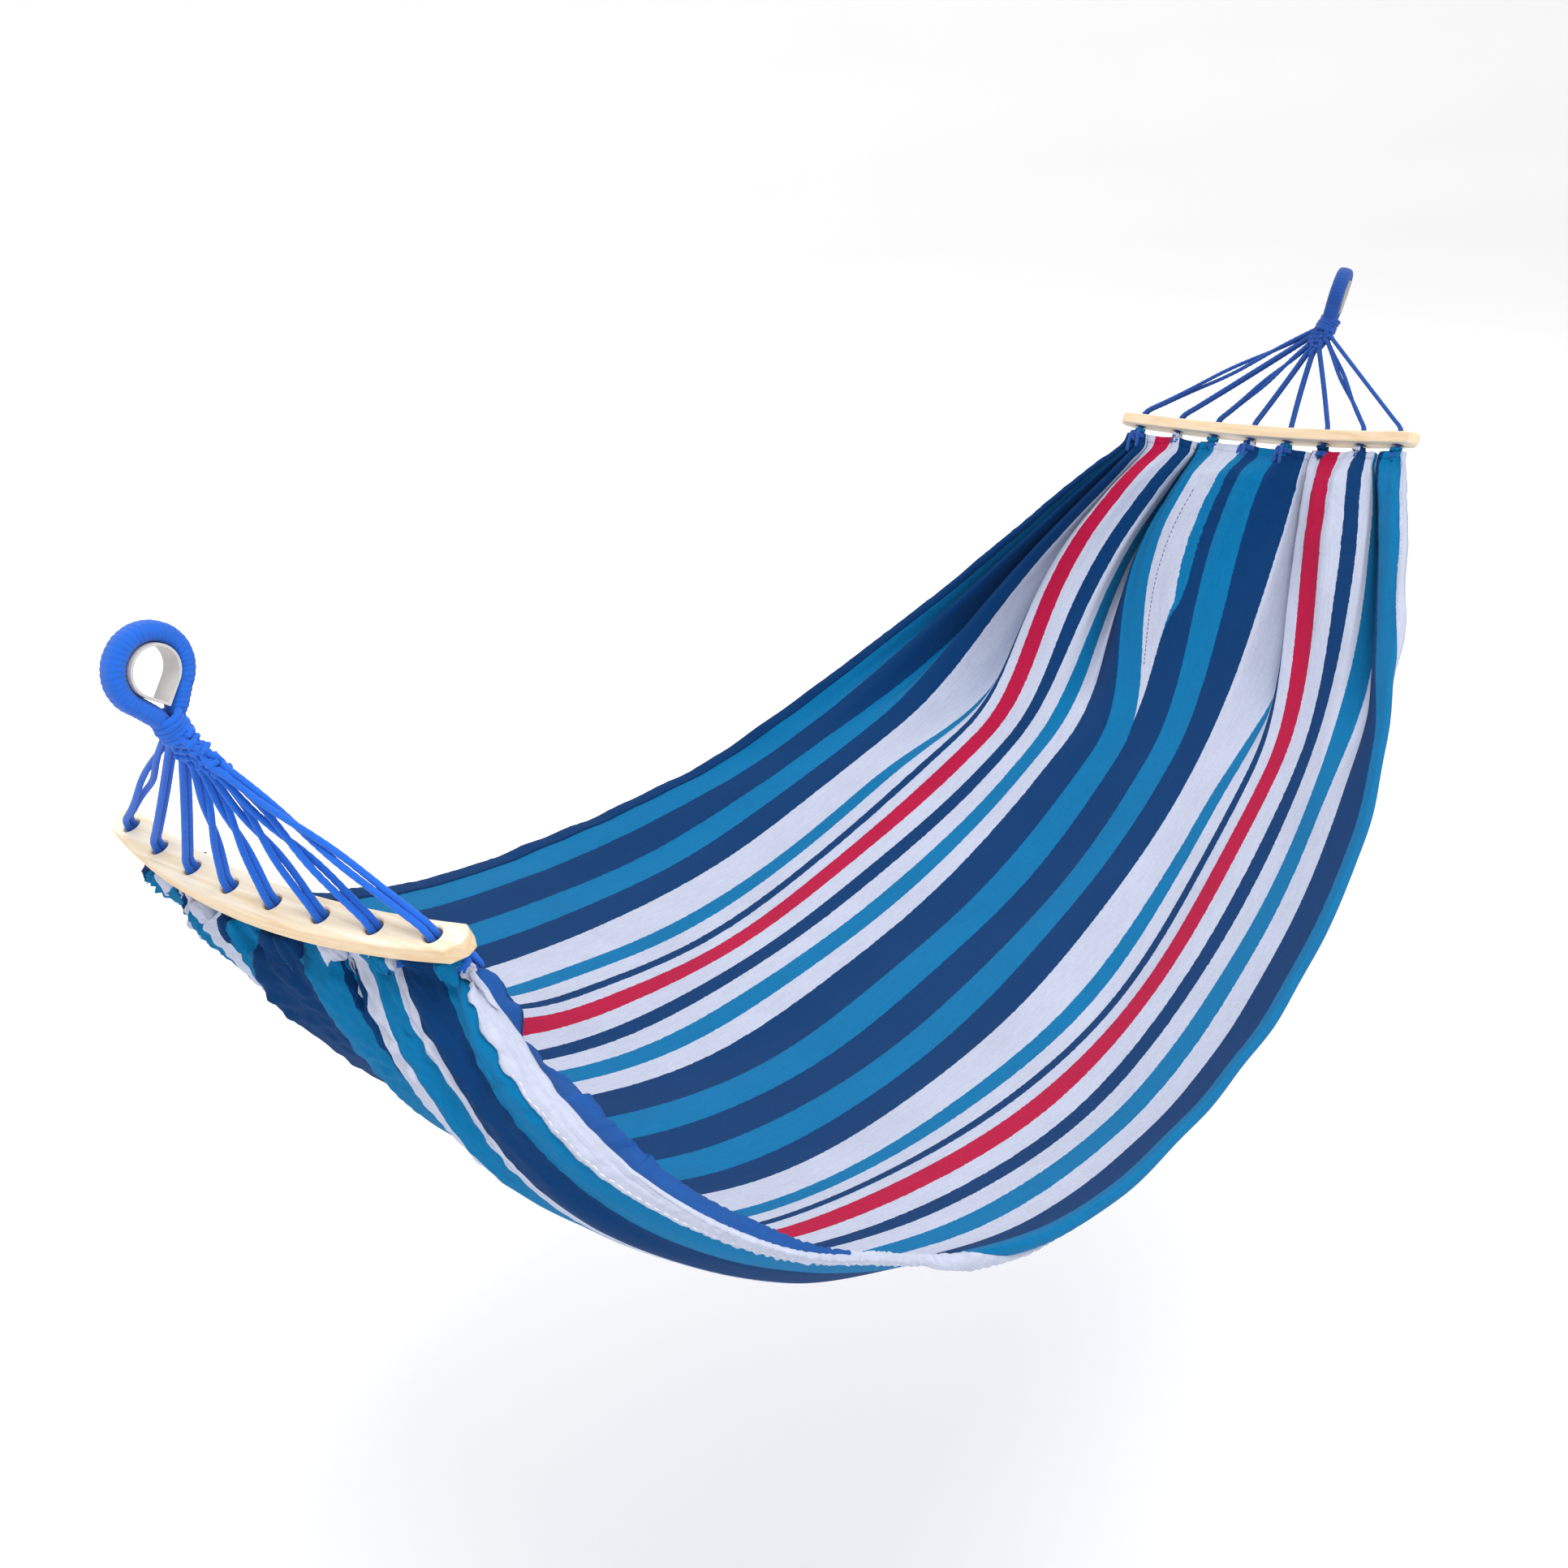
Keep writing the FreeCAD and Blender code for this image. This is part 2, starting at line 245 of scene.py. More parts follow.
def grid_faces(rows, columns, closed=False, first=0):
    """Quads of a grid of points stored row by row. In a closed grid the columns go round."""
    r, c = np.meshgrid(np.arange(rows - 1), np.arange(columns if closed else columns - 1), indexing="ij")
    here, beside = r * columns + c, r * columns + (c + 1) % columns
    return np.stack([here, beside, beside + columns, here + columns], -1).reshape(-1, 4) + first


def close_ends(rings, centres=None):
    """Points and faces of a tube of closed rings, with a fan over each end."""
    count, around = rings.shape[:2]
    if centres is None:
        centres = rings[[0, -1]].mean(1)
    head, tail, last = count * around, count * around + 1, (count - 1) * around
    caps = [(head, (k + 1) % around, k) for k in range(around)]
    caps += [(tail, last + k, last + (k + 1) % around) for k in range(around)]
    return np.vstack([rings.reshape(-1, 3), centres]), [*grid_faces(count, around, closed=True), *caps]


def add_tube(name, rings, material, uv, cap_uv, marks=None):
    """A mesh object of closed rings. cap_uv is the map at the middle of each end."""
    points, faces = close_ends(rings)
    uv = np.vstack([uv.reshape(-1, 2), cap_uv])
    if marks is not None:
        marks = np.append(marks, [0, 0])
    return add_mesh(name, points, faces, material, uv, marks)


def ride(thing, body, slot, *nodes):
    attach(thing, body)
    if nodes:
        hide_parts(*nodes)
    return thing


def ease(low, high, x):
    t = np.clip((x - low) / (high - low), 0.0, 1.0)
    return t * t * (3 - 2 * t)


def stretch(span, s):
    """1 along a stretch of the cloth and 0 away from it: (starts, full, starts to fade, gone)."""
    return ease(span[0], span[1], s) * (1 - ease(span[2], span[3], s))


def waves(x, y, seed, count=6):
    """Smooth seeded noise from -1 to 1, made of sines about one unit long."""
    draw = np.random.default_rng(seed)
    total = np.zeros(np.broadcast(x, y).shape)
    for _ in range(count):
        turn, rate, phase = draw.uniform(0, math.tau), draw.uniform(0.6, 1.6), draw.uniform(0, math.tau)
        total = total + np.sin(math.tau * rate * (x * math.cos(turn) + y * math.sin(turn)) + phase)
    return total / math.sqrt(count) * 0.8


def angles(count):
    """Evenly spaced angles round a ring."""
    return np.linspace(0, math.tau, count, endpoint=False)


def pairs(first, second):
    """Two arrays, or an array and a number, as one array of pairs."""
    return np.stack(np.broadcast_arrays(first, second), -1)


def distances(line):
    """How far each place is from the first one, along the line."""
    return np.concatenate([[0], np.cumsum(np.linalg.norm(np.diff(line, axis=0), axis=1))])


def places_at(wanted, far, values):
    """The values' rows read at the wanted distances."""
    return np.stack([np.interp(wanted, far, values[:, k]) for k in range(values.shape[1])], -1)


def smooth_path(points, count):
    """Catmull-Rom curve through the points, as evenly spaced places, and its length."""
    points = np.asarray(points, float)
    padded = np.vstack([2 * points[0] - points[1], points, 2 * points[-1] - points[-2]])
    pieces = []
    for k in range(len(points) - 1):
        p0, p1, p2, p3 = padded[k:k + 4]
        t = np.linspace(0, 1, 24, endpoint=False)[:, None]
        pieces.append(0.5 * (2 * p1 + (p2 - p0) * t + (2 * p0 - 5 * p1 + 4 * p2 - p3) * t ** 2
                             + (3 * p1 - p0 - 3 * p2 + p3) * t ** 3))
    line = np.vstack(pieces + [points[-1:]])
    far = distances(line)
    return places_at(np.linspace(0, far[-1], count), far, line), far[-1]


def even_path(route, step):
    """The curve through a route as places about one step apart, and its length."""
    _, length = smooth_path(route, 3)
    return smooth_path(route, max(6, int(length / step)))


def path_frames(line):
    """Two directions across the path at each place, carried along without twisting."""
    along = unit(np.gradient(line, axis=0))
    across = np.zeros_like(line)
    guess = np.array([0.0, 0.0, 1.0] if abs(along[0][2]) < 0.8 else [1.0, 0.0, 0.0])
    for k, direction in enumerate(along):
        guess = unit(guess - direction * guess.dot(direction))
        across[k] = guess
    return across, np.cross(along, across)


def ovals(centres, first, second, wide, tall, turn):
    """A ring round each centre, wide along the first direction and tall along the second."""
    rings = centres[:, None] + np.atleast_2d(first)[:, None] * (wide * np.cos(turn))[..., None]
    return rings + np.atleast_2d(second)[:, None] * (tall * np.sin(turn))[..., None]


BRAID_STEP = 0.0010
BRAID_ROUND = 14


def braided_tube(route, radius, strength=0.10, pitch=0.0075, taper=0.0, step=BRAID_STEP):
    """Points, faces and UVs of one cord with the diamond relief of a hollow braid."""
    line, length = even_path(route, step)
    first, second = path_frames(line)
    s = np.linspace(0, length, len(line))[:, None]
    turn = angles(BRAID_ROUND)[None, :]
    lift = np.maximum(*[np.abs(np.cos(1.5 * turn + way * math.pi * s / pitch)) for way in (1, -1)])
    from_tip = np.minimum(s, length - s)
    closing = 1 - taper * np.clip(1 - from_tip / radius, 0, 1) ** 2
    r = radius * (1 - strength + strength * lift) * closing
    points, faces = close_ends(ovals(line, first, second, r, r, turn), line[[0, -1]])
    uv = pairs(s, turn / math.tau).reshape(-1, 2)
    return points, faces, np.vstack([uv, [[0.0, 0.5], [length, 0.5]]])


def add_cords(name, parts, material):
    """One mesh object of several braided tubes."""
    points, faces, uv = zip(*parts)
    starts = np.cumsum([0] + [len(p) for p in points])
    faces = [tuple(int(i) + start for i in face) for part, start in zip(faces, starts) for face in part]
    return add_mesh(name, np.vstack(points), faces, material, np.vstack(uv))


# Materials

def srgb(red, green, blue):
    """A colour given as screen values from 0 to 255, as the linear values that shaders use."""
    def channel(c):
        c = c / 255
        return c / 12.92 if c <= 0.04045 else ((c + 0.055) / 1.055) ** 2.4
    return (channel(red), channel(green), channel(blue), 1.0)


NAVY = srgb(0, 53, 104)
BLUE = srgb(0, 109, 161)
WHITE = srgb(187, 193, 213)
RED = srgb(174, 16, 62)
# The near hem's inner leaf: navy painted lighter, a painted highlight for the grazing light on it.
GRAZING_LIT_NAVY = srgb(30, 80, 150)
DARK_GRAIN = srgb(226, 202, 165)
PALE_GRAIN = srgb(246, 234, 212)
# The bar's sides: partly the edge's own tan and partly painted shade.
SIDE_TONE_AND_SHADE = srgb(224, 184, 132)
PALE_GREY = srgb(205, 202, 200)
RUBBED_GREY = srgb(176, 172, 172)
INK = {"N": NAVY, "B": BLUE, "W": WHITE, "R": RED}


class Nodes:
    """Short names for the node calls that every material makes."""

    def __init__(self, name):
        self.material = bpy.data.materials.new(name)
        self.material.use_nodes = True
        self.tree = self.material.node_tree
        self.shader = self.tree.nodes["Principled BSDF"]

    def feed(self, node, sockets):
        """Gives each socket its constant, or links an output to it."""
        for key, value in sockets.items():
            if isinstance(value, (int, float, tuple)):
                node.inputs[key].default_value = value
            else:
                self.tree.links.new(value, node.inputs[key])

    def add(self, kind, sockets=None, **settings):
        node = self.tree.nodes.new("ShaderNode" + kind)
        for key, value in settings.items():
            setattr(node, key, value)
        self.feed(node, sockets or {})
        return node

    def math(self, operation, first, second=0.0):
        return self.add("Math", {0: first, 1: second}, operation=operation).outputs[0]

    def plus(self, first, second):
        return self.math("ADD", first, second)

    def minus(self, first, second):
        return self.math("SUBTRACT", first, second)

    def times(self, first, second):
        return self.math("MULTIPLY", first, second)

    def over(self, first, second):
        return self.math("DIVIDE", first, second)

    def place(self, scale=(1.0, 1.0, 1.0)):
        source = self.add("TexCoord").outputs["Object"]
        return self.add("Mapping", {"Vector": source, "Scale": scale}).outputs[0]

    def noise(self, place, scale, detail=3.0, roughness=0.55, distortion=0.0):
        return self.add("TexNoise", {"Vector": place, "Scale": scale, "Detail": detail,
                                     "Roughness": roughness, "Distortion": distortion}).outputs["Fac"]

    def spread(self, value, low, high):
        """value from 0 to 1 carried over to low to high."""
        return self.add("MapRange", {"Value": value, "To Min": low, "To Max": high}).outputs[0]

    def mix(self, share, first, second):
        return self.add("Mix", {0: share, 6: first, 7: second}, data_type="RGBA").outputs[2]

    def shade(self, colour, amount):
        """The colour made lighter or darker by a number round 1."""
        return self.add("HueSaturation", {"Value": amount, "Color": colour}).outputs[0]

    def finish(self, colour, roughness, height, strength, depth, sheen=0.0, specular=0.25):
        bump = self.add("Bump", {"Strength": strength, "Distance": depth, "Height": height})
        self.feed(self.shader, {"Base Color": colour, "Roughness": roughness, "Sheen Weight": sheen,
                                "Sheen Roughness": 0.6, "Specular IOR Level": specular,
                                "Normal": bump.outputs[0]})
        return self.material


THREAD = 0.0018


def weave_height(nodes, along, across):
    """A plain weave: threads that pass over and under each other."""
    warp, weft = (nodes.math("SINE", nodes.times(way, math.tau / THREAD)) for way in (along, across))
    return nodes.times(warp, weft)


CREASES_PER_METRE = 75.0
CREASE_REACH = 0.26
CREASE_RELIEF = 22.0
CREASE_BEND = 0.012


def crease_height(nodes, place, along):
    """A fine net of creases in the crumpled cloth near end A."""
    bend = nodes.add("TexNoise", {"Vector": place, "Scale": 45.0}).outputs["Color"]
    shift = nodes.add("VectorMath", {0: bend, "Scale": CREASE_BEND}, operation="SCALE").outputs[0]
    bent = nodes.add("VectorMath", {0: place, 1: shift}, operation="ADD").outputs[0]
    cells = nodes.add("TexVoronoi", {"Scale": CREASES_PER_METRE, "Vector": bent}, feature="DISTANCE_TO_EDGE")
    near = nodes.math("MAXIMUM", nodes.minus(1.0, nodes.over(along, CREASE_REACH)), 0.0)
    return nodes.times(nodes.times(cells.outputs["Distance"], CREASE_RELIEF), near)


SLUB_SCALE = (26.0, 420.0, 1.0)
FLECK_SCALE = 190.0
FLECK_RELIEF = 2.5
CLOUD_SCALE = 9.0


def cloth_surface(nodes, colour, place, creased=False):
    """Cotton: slubs along the threads, small flecks, a weave in the relief."""
    along, across, _ = nodes.add("SeparateXYZ", {0: place}).outputs
    stretched = nodes.add("Mapping", {"Vector": place, "Scale": SLUB_SCALE}).outputs[0]
    slub = nodes.noise(stretched, 1.0, 2.0)
    fleck = nodes.noise(place, FLECK_SCALE, 4.0, 0.7)
    cloud = nodes.noise(place, CLOUD_SCALE)
    amount = nodes.plus(nodes.spread(slub, 0.86, 1.12), nodes.spread(fleck, -0.14, 0.14))
    amount = nodes.plus(amount, nodes.spread(cloud, -0.10, 0.10))
    relief = nodes.plus(weave_height(nodes, along, across), nodes.times(fleck, FLECK_RELIEF))
    if creased:
        relief = nodes.plus(relief, crease_height(nodes, place, along))
    return nodes.finish(nodes.shade(colour, amount), nodes.spread(fleck, 0.82, 0.97), relief,
                        strength=0.35, depth=0.0004, sheen=0.02, specular=0.12)


GUSSET_UNIT = 404.0
GUSSET_UNITS = 24.0
GUSSET_REACH = 0.44
TUCK_UNITS = 5.0
TUCK_REACH = 0.30


def striped_ramp(nodes, share):
    """The colour of the woven repeat at a share of it."""
    ramp = nodes.add("ValToRGB", {0: share})
    ramp.color_ramp.interpolation = "CONSTANT"
    stops, start = ramp.color_ramp.elements, 0.0
    for index, (ink, wide) in enumerate(REPEAT):
        if index >= len(stops):
            stops.new(start / REPEAT_UNITS)
        stops[index].position = start / REPEAT_UNITS
        stops[index].color = INK[ink]
        start += wide
    return ramp.outputs[0]


def stripe_material():
    """The woven stripes. The map holds metres along the cloth and the stripe place across.
    Near end B a white gusset and a blue tuck beside it cover the stripes in two wedges."""
    nodes = Nodes("striped_cloth")
    place = nodes.add("UVMap", uv_map="UVMap").outputs[0]
    along, across, _ = nodes.add("SeparateXYZ", {0: place}).outputs
    ragged = nodes.spread(nodes.noise(place, 160.0, 2.0), -0.9, 0.9)
    units = nodes.plus(nodes.times(across, UNITS / CLOTH_WIDTH), ragged)
    share = nodes.math("FRACT", nodes.over(nodes.plus(units, CUT_OFF), REPEAT_UNITS))
    from_end = nodes.minus(CLOTH_LENGTH, along)
    colour, low = striped_ramp(nodes, share), GUSSET_UNIT
    wedges = ((GUSSET_UNITS, GUSSET_REACH, 2.2, WHITE), (TUCK_UNITS, TUCK_REACH, 3.0, BLUE))
    for wide, reach, rate, ink in wedges:
        left = nodes.minus(1.0, nodes.over(from_end, reach))
        full = nodes.math("MAXIMUM", nodes.math("MINIMUM", nodes.times(left, rate), 1.0), 0.0)
        high = nodes.plus(nodes.times(full, wide), low)
        inside = nodes.times(nodes.math("GREATER_THAN", units, low), nodes.math("LESS_THAN", units, high))
        colour, low = nodes.mix(inside, colour, ink), high
    return cloth_surface(nodes, colour, place, creased=True)


def plain_cloth_material(name, colour, second=None):
    """Cloth in one colour, or in two where the mesh's mark is above a half."""
    nodes = Nodes(name)
    if second:
        mark = nodes.add("Attribute", attribute_name="mark").outputs["Fac"]
        colour = nodes.mix(nodes.math("GREATER_THAN", mark, 0.5), colour, second)
    return cloth_surface(nodes, colour, nodes.add("UVMap", uv_map="UVMap").outputs[0])


def rope_material(name, colour):
    """Braided cotton cord: painted shade in the gaps and lighter ridges, fine fibres, a little sheen."""
    nodes = Nodes(name)
    place = nodes.place()
    fibre = nodes.noise(place, 900.0, 3.0, 0.7)
    patch = nodes.noise(place, 60.0)
    amount = nodes.plus(nodes.spread(fibre, 0.78, 1.18), nodes.spread(patch, -0.14, 0.14))
    # Painted shade: curvature darkens the hollows between the strands and lightens their ridges.
    gap_shade = nodes.spread(nodes.add("NewGeometry").outputs["Pointiness"], -0.54, 0.54)
    colour = nodes.shade(colour, nodes.plus(amount, gap_shade))
    return nodes.finish(colour, nodes.spread(fibre, 0.7, 0.9), fibre, strength=0.5, depth=0.0005, sheen=0.15)


def wood_material(up):
    """Pale sanded softwood: lines along the bar, and sides browner than faces, partly the edge's own tan and
    partly painted shade.
    """
    nodes = Nodes("pale_wood")
    lines = nodes.noise(nodes.place((60.0, 3.0, 60.0)), 2.2, 5.0, 0.5, distortion=0.6)
    warp = nodes.noise(nodes.place((8.0, 2.0, 8.0)), 1.0, 2.0)
    pores = nodes.noise(nodes.place((500.0, 30.0, 500.0)), 1.0, 2.0)
    grain = nodes.add("ValToRGB", {0: lines})
    for stop, position, colour in zip(grain.color_ramp.elements, (0.30, 0.62), (DARK_GRAIN, PALE_GRAIN)):
        stop.position = position
        stop.color = colour
    normal = nodes.add("TexCoord").outputs["Normal"]
    facing = nodes.add("VectorMath", {0: normal, 1: tuple(up)}, operation="DOT_PRODUCT").outputs["Value"]
    # Painted shade: faces turned away from the bar's up direction are mixed towards the brown side colour,
    # partly the edge's own tan.
    side = nodes.times(nodes.minus(1.0, nodes.math("ABSOLUTE", facing)), 0.45)
    amount = nodes.plus(nodes.spread(warp, 0.93, 1.05), nodes.spread(pores, -0.05, 0.04))
    colour = nodes.shade(nodes.mix(side, grain.outputs[0], SIDE_TONE_AND_SHADE), amount)
    height = nodes.plus(pores, nodes.times(lines, 0.6))
    return nodes.finish(colour, nodes.spread(pores, 0.5, 0.68), height, strength=0.25, depth=0.0004)


def thimble_material():
    """Pale grey moulded liner with rubbed patches."""
    nodes = Nodes("thimble_grey")
    place = nodes.place()
    rub = nodes.noise(place, 140.0, 4.0, 0.65)
    patch = nodes.noise(place, 35.0, 2.0)
    colour = nodes.mix(nodes.spread(patch, 0.0, 1.0), PALE_GREY, RUBBED_GREY)
    colour = nodes.shade(colour, nodes.spread(rub, 0.92, 1.07))
    return nodes.finish(colour, nodes.spread(rub, 0.35, 0.6), rub, strength=0.15, depth=0.0003)


STRIPES = stripe_material()
HEM_NAVY = plain_cloth_material("hem_navy_cloth", NAVY)
HEM_WHITE_AND_LIT_LEAF = plain_cloth_material("hem_white_cloth", WHITE, GRAZING_LIT_NAVY)
THREAD_WHITE = plain_cloth_material("thread_white", srgb(232, 232, 240))
# Gusset thread: real stitches, coloured dark plum as painted shade of the fold along the gusset.
PLUM_SHADE_THREAD = plain_cloth_material("thread_plum_painted_shade", srgb(78, 52, 98))
THREAD_NAVY = plain_cloth_material("thread_navy", srgb(38, 58, 118))
ROPES = {"a": rope_material("rope_blue_a", srgb(6, 94, 200)),
         "b": rope_material("rope_blue_b", srgb(18, 74, 156))}


# Cloth

def bernstein(t):
    t = np.asarray(t, float)
    return np.stack([(1 - t) ** 3, 3 * t * (1 - t) ** 2, 3 * t * t * (1 - t), t ** 3], -1)


def bernstein_slope(t):
    t = np.asarray(t, float)
    flat = np.stack([(1 - t) ** 2, 2 * t * (1 - t), t * t], -1)
    zero = np.zeros(t.shape + (1,))
    return 3 * (np.concatenate([zero, flat], -1) - np.concatenate([flat, zero], -1))


def tie_row(end):
    """The four poles of the cloth's edge under a bar: a curve through the ties."""
    return [end.bar + SIDE * (share * CLOTH_EDGE_HALF) - end.inward * (bow * BAR_BOW) - end.up * TIE_DROP
            for share, bow in ((1, 0), (1 / 3, 4 / 3), (-1 / 3, 4 / 3), (-1, 0))]


POLES = np.array([tie_row(end_a), np.array(PULLS_A) - ORIGIN, np.array(PULLS_B) - ORIGIN, tie_row(end_b)])


def patch(basis_u, basis_v):
    return np.einsum("rci,rcj,ijk->rck", basis_u, basis_v, POLES)


def patch_table():
    """Distance along the middle line of the cloth against the patch's own parameter."""
    u = np.linspace(0, 1, 801)
    return u, distances(np.einsum("ui,j,ijk->uk", bernstein(u), bernstein(0.5), POLES))


PATCH_U, PATCH_FAR = patch_table()
BED_LENGTH = PATCH_FAR[-1]


def bed_place(s, v):
    """Place and outward direction at a distance s from end A and a share v across.
    Before 0 and past the bed's length it carries on straight towards the bar."""
    u = np.interp(s, PATCH_FAR, PATCH_U)
    basis_u, basis_v = bernstein(u), bernstein(v)
    outward = unit(np.cross(patch(bernstein_slope(u), basis_v), patch(basis_u, bernstein_slope(v))))
    past_a, past_b = np.maximum(0, -s)[..., None], np.maximum(0, s - BED_LENGTH)[..., None]
    return patch(basis_u, basis_v) + end_a.up * past_a + end_b.up * past_b, outward


def crest_unit(s):
    """The stripe place at the top of the near edge. In the far half the hem is turned under."""
    return CREST_UNIT + (TURNED_CREST_UNIT - CREST_UNIT) * stretch(TURNED_SPAN, s)


def open_share(q, s):
    """Share across the open bed for each stripe unit. Above 1 is the part turned under."""
    crest = crest_unit(s)
    pull = (1 - crest / UNITS) / (crest - CREST_PULL_FROM) ** 2
    return q / UNITS + pull * np.maximum(0, q - CREST_PULL_FROM) ** 2


def row_width(s):
    """How wide the smooth bed is at each distance from end A."""
    v = np.linspace(0, 1, 41)
    flat_s = np.broadcast_to(np.asarray(s)[:, None], (len(s), len(v)))
    place, _ = bed_place(flat_s, np.broadcast_to(v, flat_s.shape))
    return np.linalg.norm(np.diff(place, axis=1), axis=2).sum(1)


# How fast the wrinkles of a gathering fade along the cloth, in metres, and its long ripples.
PLEAT_FADE = 0.055
CRUMPLE_FADE = 0.13
WAVE_FADE = 0.09
HELD_RIPPLE = 0.0040


@dataclass
class Gathering:
    """How the cloth is bunched near one bar. away is the distance from its end of the cloth."""

    end: End
    bunch: tuple
    folds: tuple
    reach: float
    near_reach: float
    rise: float
    scallop: float
    neck: float
    neck_reach: float
    pleat: float
    crumple: float
    lobe: float

    def reach_at(self, q):
        """How far along the cloth the bunching goes at each stripe unit."""
        return np.interp(q, NEAR_PART, (self.reach, self.near_reach))

    def hold(self, away, q):
        """1 at the bar, falling to 0 where the cloth lies open."""
        return 1 - ease(0.0, self.reach_at(q), away)

    def share(self, q):
        """Share across the bar, from the far end, for each stripe unit."""
        stops, sides = np.array(self.bunch).T
        return (CLOTH_EDGE_HALF - np.interp(q, stops, sides / 1000)) / (2 * CLOTH_EDGE_HALF)

    def tie(self, q):
        """Index of the tie that each stripe unit belongs to and how far from it, -1 to 1."""
        y = CLOTH_EDGE_HALF * (1 - 2 * self.share(q))
        index = np.clip(np.round((HOLES[0] - y) / HOLE_PITCH), 0, CORD_COUNT - 1).astype(int)
        return index, np.clip((y - np.array(HOLES)[index]) / (HOLE_PITCH / 2), -1, 1)

    def fold_depth(self, away, q, width):
        """How far each fold stands off the bed, and its sideways lean."""
        hold = self.hold(away, q)
        deep, lean = np.zeros_like(q), np.zeros_like(q)
        for number, (first, last, tilt, side) in enumerate(self.folds):
            t = (q - first) / (last - first)
            inside = (t > 0) & (t < 1)
            natural = (last - first) / UNITS
            kept = (1 - hold) + hold * (self.share(last) - self.share(first)) / natural
            ratio = np.clip(kept * width / CLOTH_WIDTH, 0.0, 1.0)
            tall = np.minimum(natural * CLOTH_WIDTH / 2 * np.sqrt(1 - ratio ** 2), TALLEST_FOLD)
            reach = self.reach_at(first)
            fade = 1 - ease(0.55 * reach, 1.2 * reach, away + 0.06 * math.sin(2.1 * number + 1))
            sharp = 1 - np.abs(2 * t - 1)
            soft = 0.5 - 0.5 * np.cos(math.tau * t)
            blend = np.clip(ratio * 1.3, 0, 1)
            shape = np.where(inside, (sharp * (1 - blend) + soft * blend) * tall * fade, 0.0)
            deep = deep + side * shape
            lean = lean + tilt * shape
        return deep, lean

    def wrinkles(self, away, q, seed):
        """Pleats that run down from the ties, crumples near them and long ripples."""
        _, off = self.tie(q)
        pleats = np.sin(math.pi * 2.5 * off + 1.2 * waves(q / 90, away * 9, seed)) * self.pleat
        pleats = pleats * np.exp(-away / PLEAT_FADE) * (1 - 0.5 * np.abs(off))
        lobes = np.zeros_like(q)
        lows = [0] + [fold[1] for fold in self.folds]
        highs = [fold[0] for fold in self.folds] + [CREST_UNIT]
        for low, high in zip(lows, highs):
            t = np.clip((q - low) / max(high - low, 1), 0, 1)
            reach = min(0.5 * self.lobe * (high - low) / 20, self.lobe)
            lobes = lobes + np.sin(math.pi * t) * reach
        pleats = pleats + lobes * self.hold(away, q) * ease(0.0, 0.05, away)
        net = np.abs(waves(q / 13, away * 44, seed + 1)) - 0.45
        small = net * self.crumple * np.exp(-(away / CRUMPLE_FADE) ** 2)
        large = waves(q / 55, away * 13, seed + 2) * self.pleat * 0.8 * np.exp(-away / WAVE_FADE)
        ripples = waves(q / 30, away * 3, seed + 3) * HELD_RIPPLE * self.hold(away, q) * ease(0.0, 0.06, away)
        return pleats + small + large + ripples


gather_a = Gathering(end_a, BUNCH_A, FOLDS_A, reach=0.50, near_reach=0.34, rise=0.0205, scallop=0.012,
                     neck=0.36, neck_reach=0.045, pleat=0.0050, crumple=0.0085, lobe=0.010)
gather_b = Gathering(end_b, BUNCH_B, FOLDS_B, reach=0.50, near_reach=0.50, rise=0.0235, scallop=0.006,
                     neck=0.60, neck_reach=0.026, pleat=0.0026, crumple=0.0026, lobe=-0.011)
END_PART = 0.12
TIED_PART = 0.15
TURN_GAP = 0.0085
FLARE = 0.020
FLARE_SPAN = (1.30, 1.75, 1.90, 2.0)
# A belly and a hollow of the bed near end A: (height, middle unit, half width in units, span).
SWELLS = ((0.012, 685.0, 42.0, (0.05, 0.20, 0.36, 0.52)), (-0.013, 420.0, 110.0, (0.02, 0.12, 0.20, 0.45)))
# Long ripples over the whole bed: (waves across, waves along a metre, seed, height).
RIPPLES = ((9.0, 2.2, 31, 0.0026), (3.1, 1.4, 32, 0.004))
FAR_RIPPLE = 0.0035
FAR_RIPPLE_FADE = UNITS / 26
NEAR_RIPPLE = 0.0030
NEAR_RIPPLE_FADE = 30.0


def cloth_points(s, q):
    """Places on the hanging cloth for distances s along it and stripe units q across."""
    ends = ((gather_a, s, 1), (gather_b, BED_LENGTH - s, -1))
    width = np.interp(s, WIDTH_S, WIDTH_AT)
    flat_s = s.copy()
    v = open_share(q, s)
    over = np.maximum(0, v - 1)
    v = v - 2 * over
    deep = TURN_GAP * ease(0.0, 0.006, over * width)
    lean = np.zeros_like(s)
    for gathering, away, toward in ends:
        v = v + gathering.hold(away, q) * (gathering.share(q) - v)
        _, off = gathering.tie(q)
        near = np.clip(1 - away / END_PART, 0, 1)
        top = -gathering.rise + gathering.scallop * (1 - (1 - np.abs(off)) ** 2)
        flat_s = flat_s + toward * top * near
        start = 0.12 + 0.88 * ease(0.0, 0.085, away)
        folded, leaning = gathering.fold_depth(away, q, width)
        deep, lean = deep + folded * start, lean + leaning * start
    v = v + lean / np.maximum(width, 0.3) - FLARE * stretch(FLARE_SPAN, s) * np.exp(-q / 50)
    for number, (gathering, away, _) in enumerate(ends):
        deep = deep + gathering.wrinkles(away, q, 50 + 10 * number)
    for height, middle, half, span in SWELLS:
        deep = deep + height * stretch(span, s) * np.exp(-((q - middle) / half) ** 2)
    for across, along, seed, height in RIPPLES:
        deep = deep + waves(q / UNITS * across, s * along, seed) * height
    deep = deep + np.exp(-q / FAR_RIPPLE_FADE) * waves(q * 0, s * 7.5, 33) * FAR_RIPPLE
    deep = deep + np.exp((q - CREST_UNIT) / NEAR_RIPPLE_FADE) * waves(q * 0, s * 7.0, 34) * NEAR_RIPPLE
    place, outward = bed_place(flat_s, np.clip(v, -0.03, 1.02))
    place = place + outward * deep[..., None]
    for gathering, away, _ in ends:
        place = drawn_in(gathering, place, away, q)
    return place


